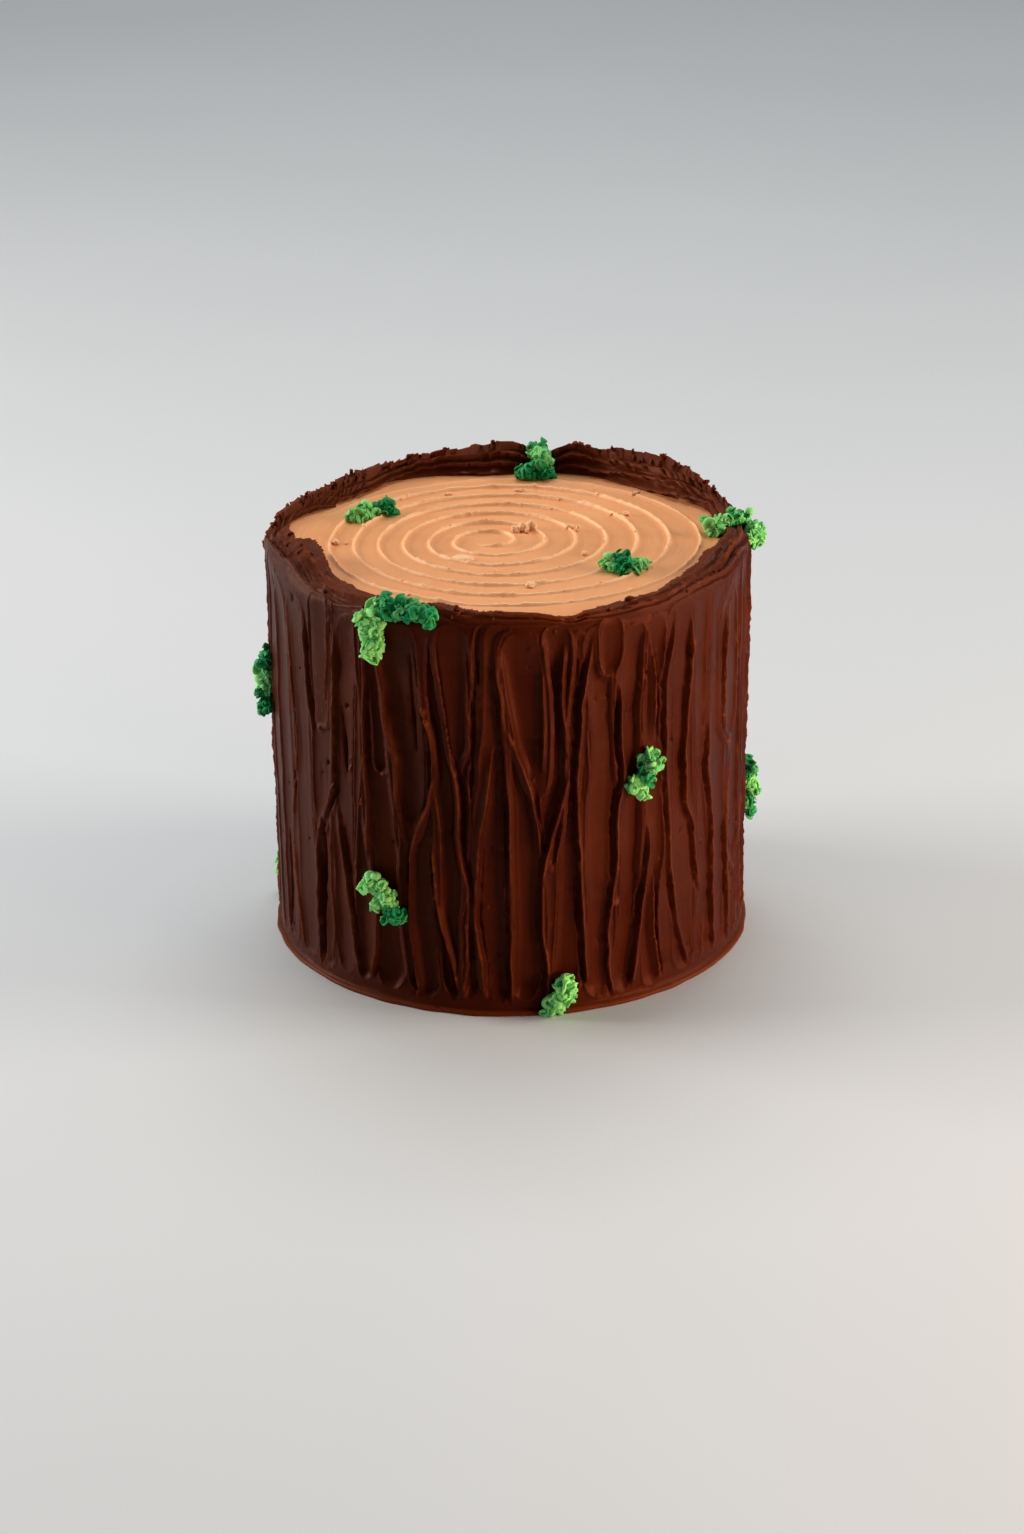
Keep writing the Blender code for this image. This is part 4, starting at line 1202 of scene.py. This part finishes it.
def caramel_icing(group):
    """Satin caramel buttercream, painted paler on the spiral's lips and on the lumps as a painted highlight,
    and darker in its bubble pits as painted shade.
    """
    sizes = {"across": 260.0, "along": 260.0, "bubbles": 300.0, "cloud_scale": 26.0}
    material, tree, shader, marks = new_icing("caramel_buttercream", 0.42, group, **sizes)
    base = mix_colour(tree, spread(tree, marks["Clouds"], 0.3, 0.7), CARAMEL_DARK, CARAMEL_LIGHT)
    # Painted highlight: the spiral's lips and the lumps are painted paler.
    base = mix_colour(tree, spread(tree, attribute(tree, "ridge"), 0.12, 0.65, 0.0, 0.85), base, CARAMEL_LIP_HIGHLIGHT)
    # Painted shade: the bubble pits are painted darker.
    base = mix_colour(tree, marks["Pits"] * 0.25, base, CARAMEL_PIT_SHADE)
    finish_icing(
        tree,
        shader,
        base,
        spread(tree, marks["Drag"], 0.3, 0.7, 0.38, 0.52),
        marks["Drag"] - marks["Pits"] * 0.8,
        depth=0.08 * MM,
        strength=0.4,
        specular_tint=(1.0, 0.75, 0.5, 1.0),
        subsurface_weight=0.06,
        subsurface_radius=(1.0, 0.6, 0.35),
        subsurface_scale=1.2 * MM,
    )
    return material


def moss_icing(group):
    """Green buttercream in a range from deep emerald to pale leaf green."""
    sizes = {"across": 700.0, "along": 700.0, "bubbles": 700.0, "cloud_scale": 120.0}
    material, tree, shader, marks = new_icing("moss_buttercream", 0.5, group, **sizes)
    dark = mix_colour(tree, marks["Clouds"], *MOSS_DARK)
    pale = mix_colour(tree, marks["Clouds"], *MOSS_PALE)
    finish_icing(
        tree,
        shader,
        mix_colour(tree, spread(tree, attribute(tree, "tone"), 0.15, 0.85), dark, pale),
        spread(tree, marks["Drag"], 0.3, 0.7, 0.45, 0.6),
        marks["Drag"],
        depth=0.08 * MM,
        strength=0.4,
        specular_ior_level=0.3,
        specular_tint=(0.55, 1.0, 0.65, 1.0),
        subsurface_weight=0.2,
        subsurface_radius=(0.4, 1.0, 0.4),
        subsurface_scale=1.2 * MM,
    )
    return material


def floor_material():
    material, tree, shader = new_material("pale_floor", FLOOR_ROUGHNESS)
    place = add(tree, "ShaderNodeTexCoord").outputs["Object"]
    feed(shader.inputs["Base Color"], mix_colour(tree, cloud(tree, place, 3.0, 4.0), *FLOOR_GREYS))
    return material


def area_light(name, place, target, size, power, colour):
    light = bpy.data.lights.new(name, "AREA")
    light.shape = "RECTANGLE"
    light.size = size[0]
    light.size_y = size[1]
    light.energy = power
    light.color = colour
    lamp = new_object(name, light)
    lamp.location = place
    lamp.rotation_euler = (Vector(target) - Vector(place)).to_track_quat("-Z", "Y").to_euler()


def studio():
    """A pale floor, soft light from both sides and above, and the camera."""
    bpy.ops.mesh.primitive_plane_add(size=FLOOR_SIZE)
    floor = bpy.context.active_object
    floor.name = "pale_floor"
    floor.data.materials.append(floor_material())
    for light in LIGHTS:
        area_light(*light)
    bpy.context.scene.view_settings.view_transform = "Standard"
    world = bpy.data.worlds.new("studio")
    bpy.context.scene.world = world
    world.use_nodes = True
    sky = world.node_tree.nodes["Background"]
    sky.inputs["Color"].default_value = SKY_COLOUR
    sky.inputs["Strength"].default_value = SKY_STRENGTH
    lens = bpy.data.cameras.new("camera")
    lens.lens = LENS
    lens.sensor_width = SENSOR
    camera = new_object("camera", lens)
    tilt = Matrix.Rotation(math.radians(90.0 - CAMERA_PITCH), 4, "X")
    roll = Matrix.Rotation(math.radians(CAMERA_ROLL), 4, "Z")
    camera.matrix_world = Matrix.Translation(CAMERA_PLACE) @ tilt @ roll
    bpy.context.scene.camera = camera


def values_of(obj, name):
    values = np.empty(len(obj.data.vertices), dtype=np.float32)
    obj.data.attributes[name].data.foreach_get("value", values)
    return values


def torn_bits(name, source, mask, tree, material, **numbers):
    """Loose crumbs and shreds of icing caught on a surface, where the mask is above 0."""
    obj = new_object(name, source.data.copy())
    layer = obj.data.attributes.new("torn", "FLOAT", "POINT")
    layer.data.foreach_set("value", mask.astype(np.float32))
    grow(obj, tree, material, **numbers)
    return obj


def main():
    group = worked_icing_group()
    chocolate = chocolate_icing(group)
    caramel = caramel_icing(group)
    green = moss_icing(group)
    studio()

    bark = chocolate_bark(chocolate)
    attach(bark, "root")
    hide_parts("chocolate_cake")

    spiral = caramel_spiral(caramel)
    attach(spiral, "root")
    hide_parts("caramel_round")

    for number, (x, y, length, width, rise, torn) in enumerate(LUMPS):
        place = (x * MM, y * MM, ROUND_HEIGHT + 0.25 * rise * MM)
        size = (length * MM, width * MM, rise * MM)
        lifted = lump(f"caramel_lump_{number}", place, size, torn, number + LUMPS_SEED, caramel)
        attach(lifted, "root")

    for flake in collar_tears(bark, chocolate):
        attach(flake, "root")

    bits = scatter_tree()
    collar = values_of(bark, "collar")
    on_crest = np.exp(-(((collar - 0.42) / 0.16) ** 2)) * (collar > 0.05)
    shreds = torn_bits("collar_shreds", bark, on_crest, bits, chocolate, **COLLAR_SHREDS)
    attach(shreds, "root")

    lips = np.clip(values_of(spiral, "ridge") - 0.45, 0, 1) * 2.0
    crumbs = torn_bits("spiral_crumbs", spiral, lips, bits, caramel, **SPIRAL_CRUMBS)
    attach(crumbs, "root")

    strands = moss_tree()
    for seed, node in enumerate(MOSS_TONES):
        clump = moss_clump(node, strands, green, seed + 1)
        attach(clump, "root")
        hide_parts(node)


main()
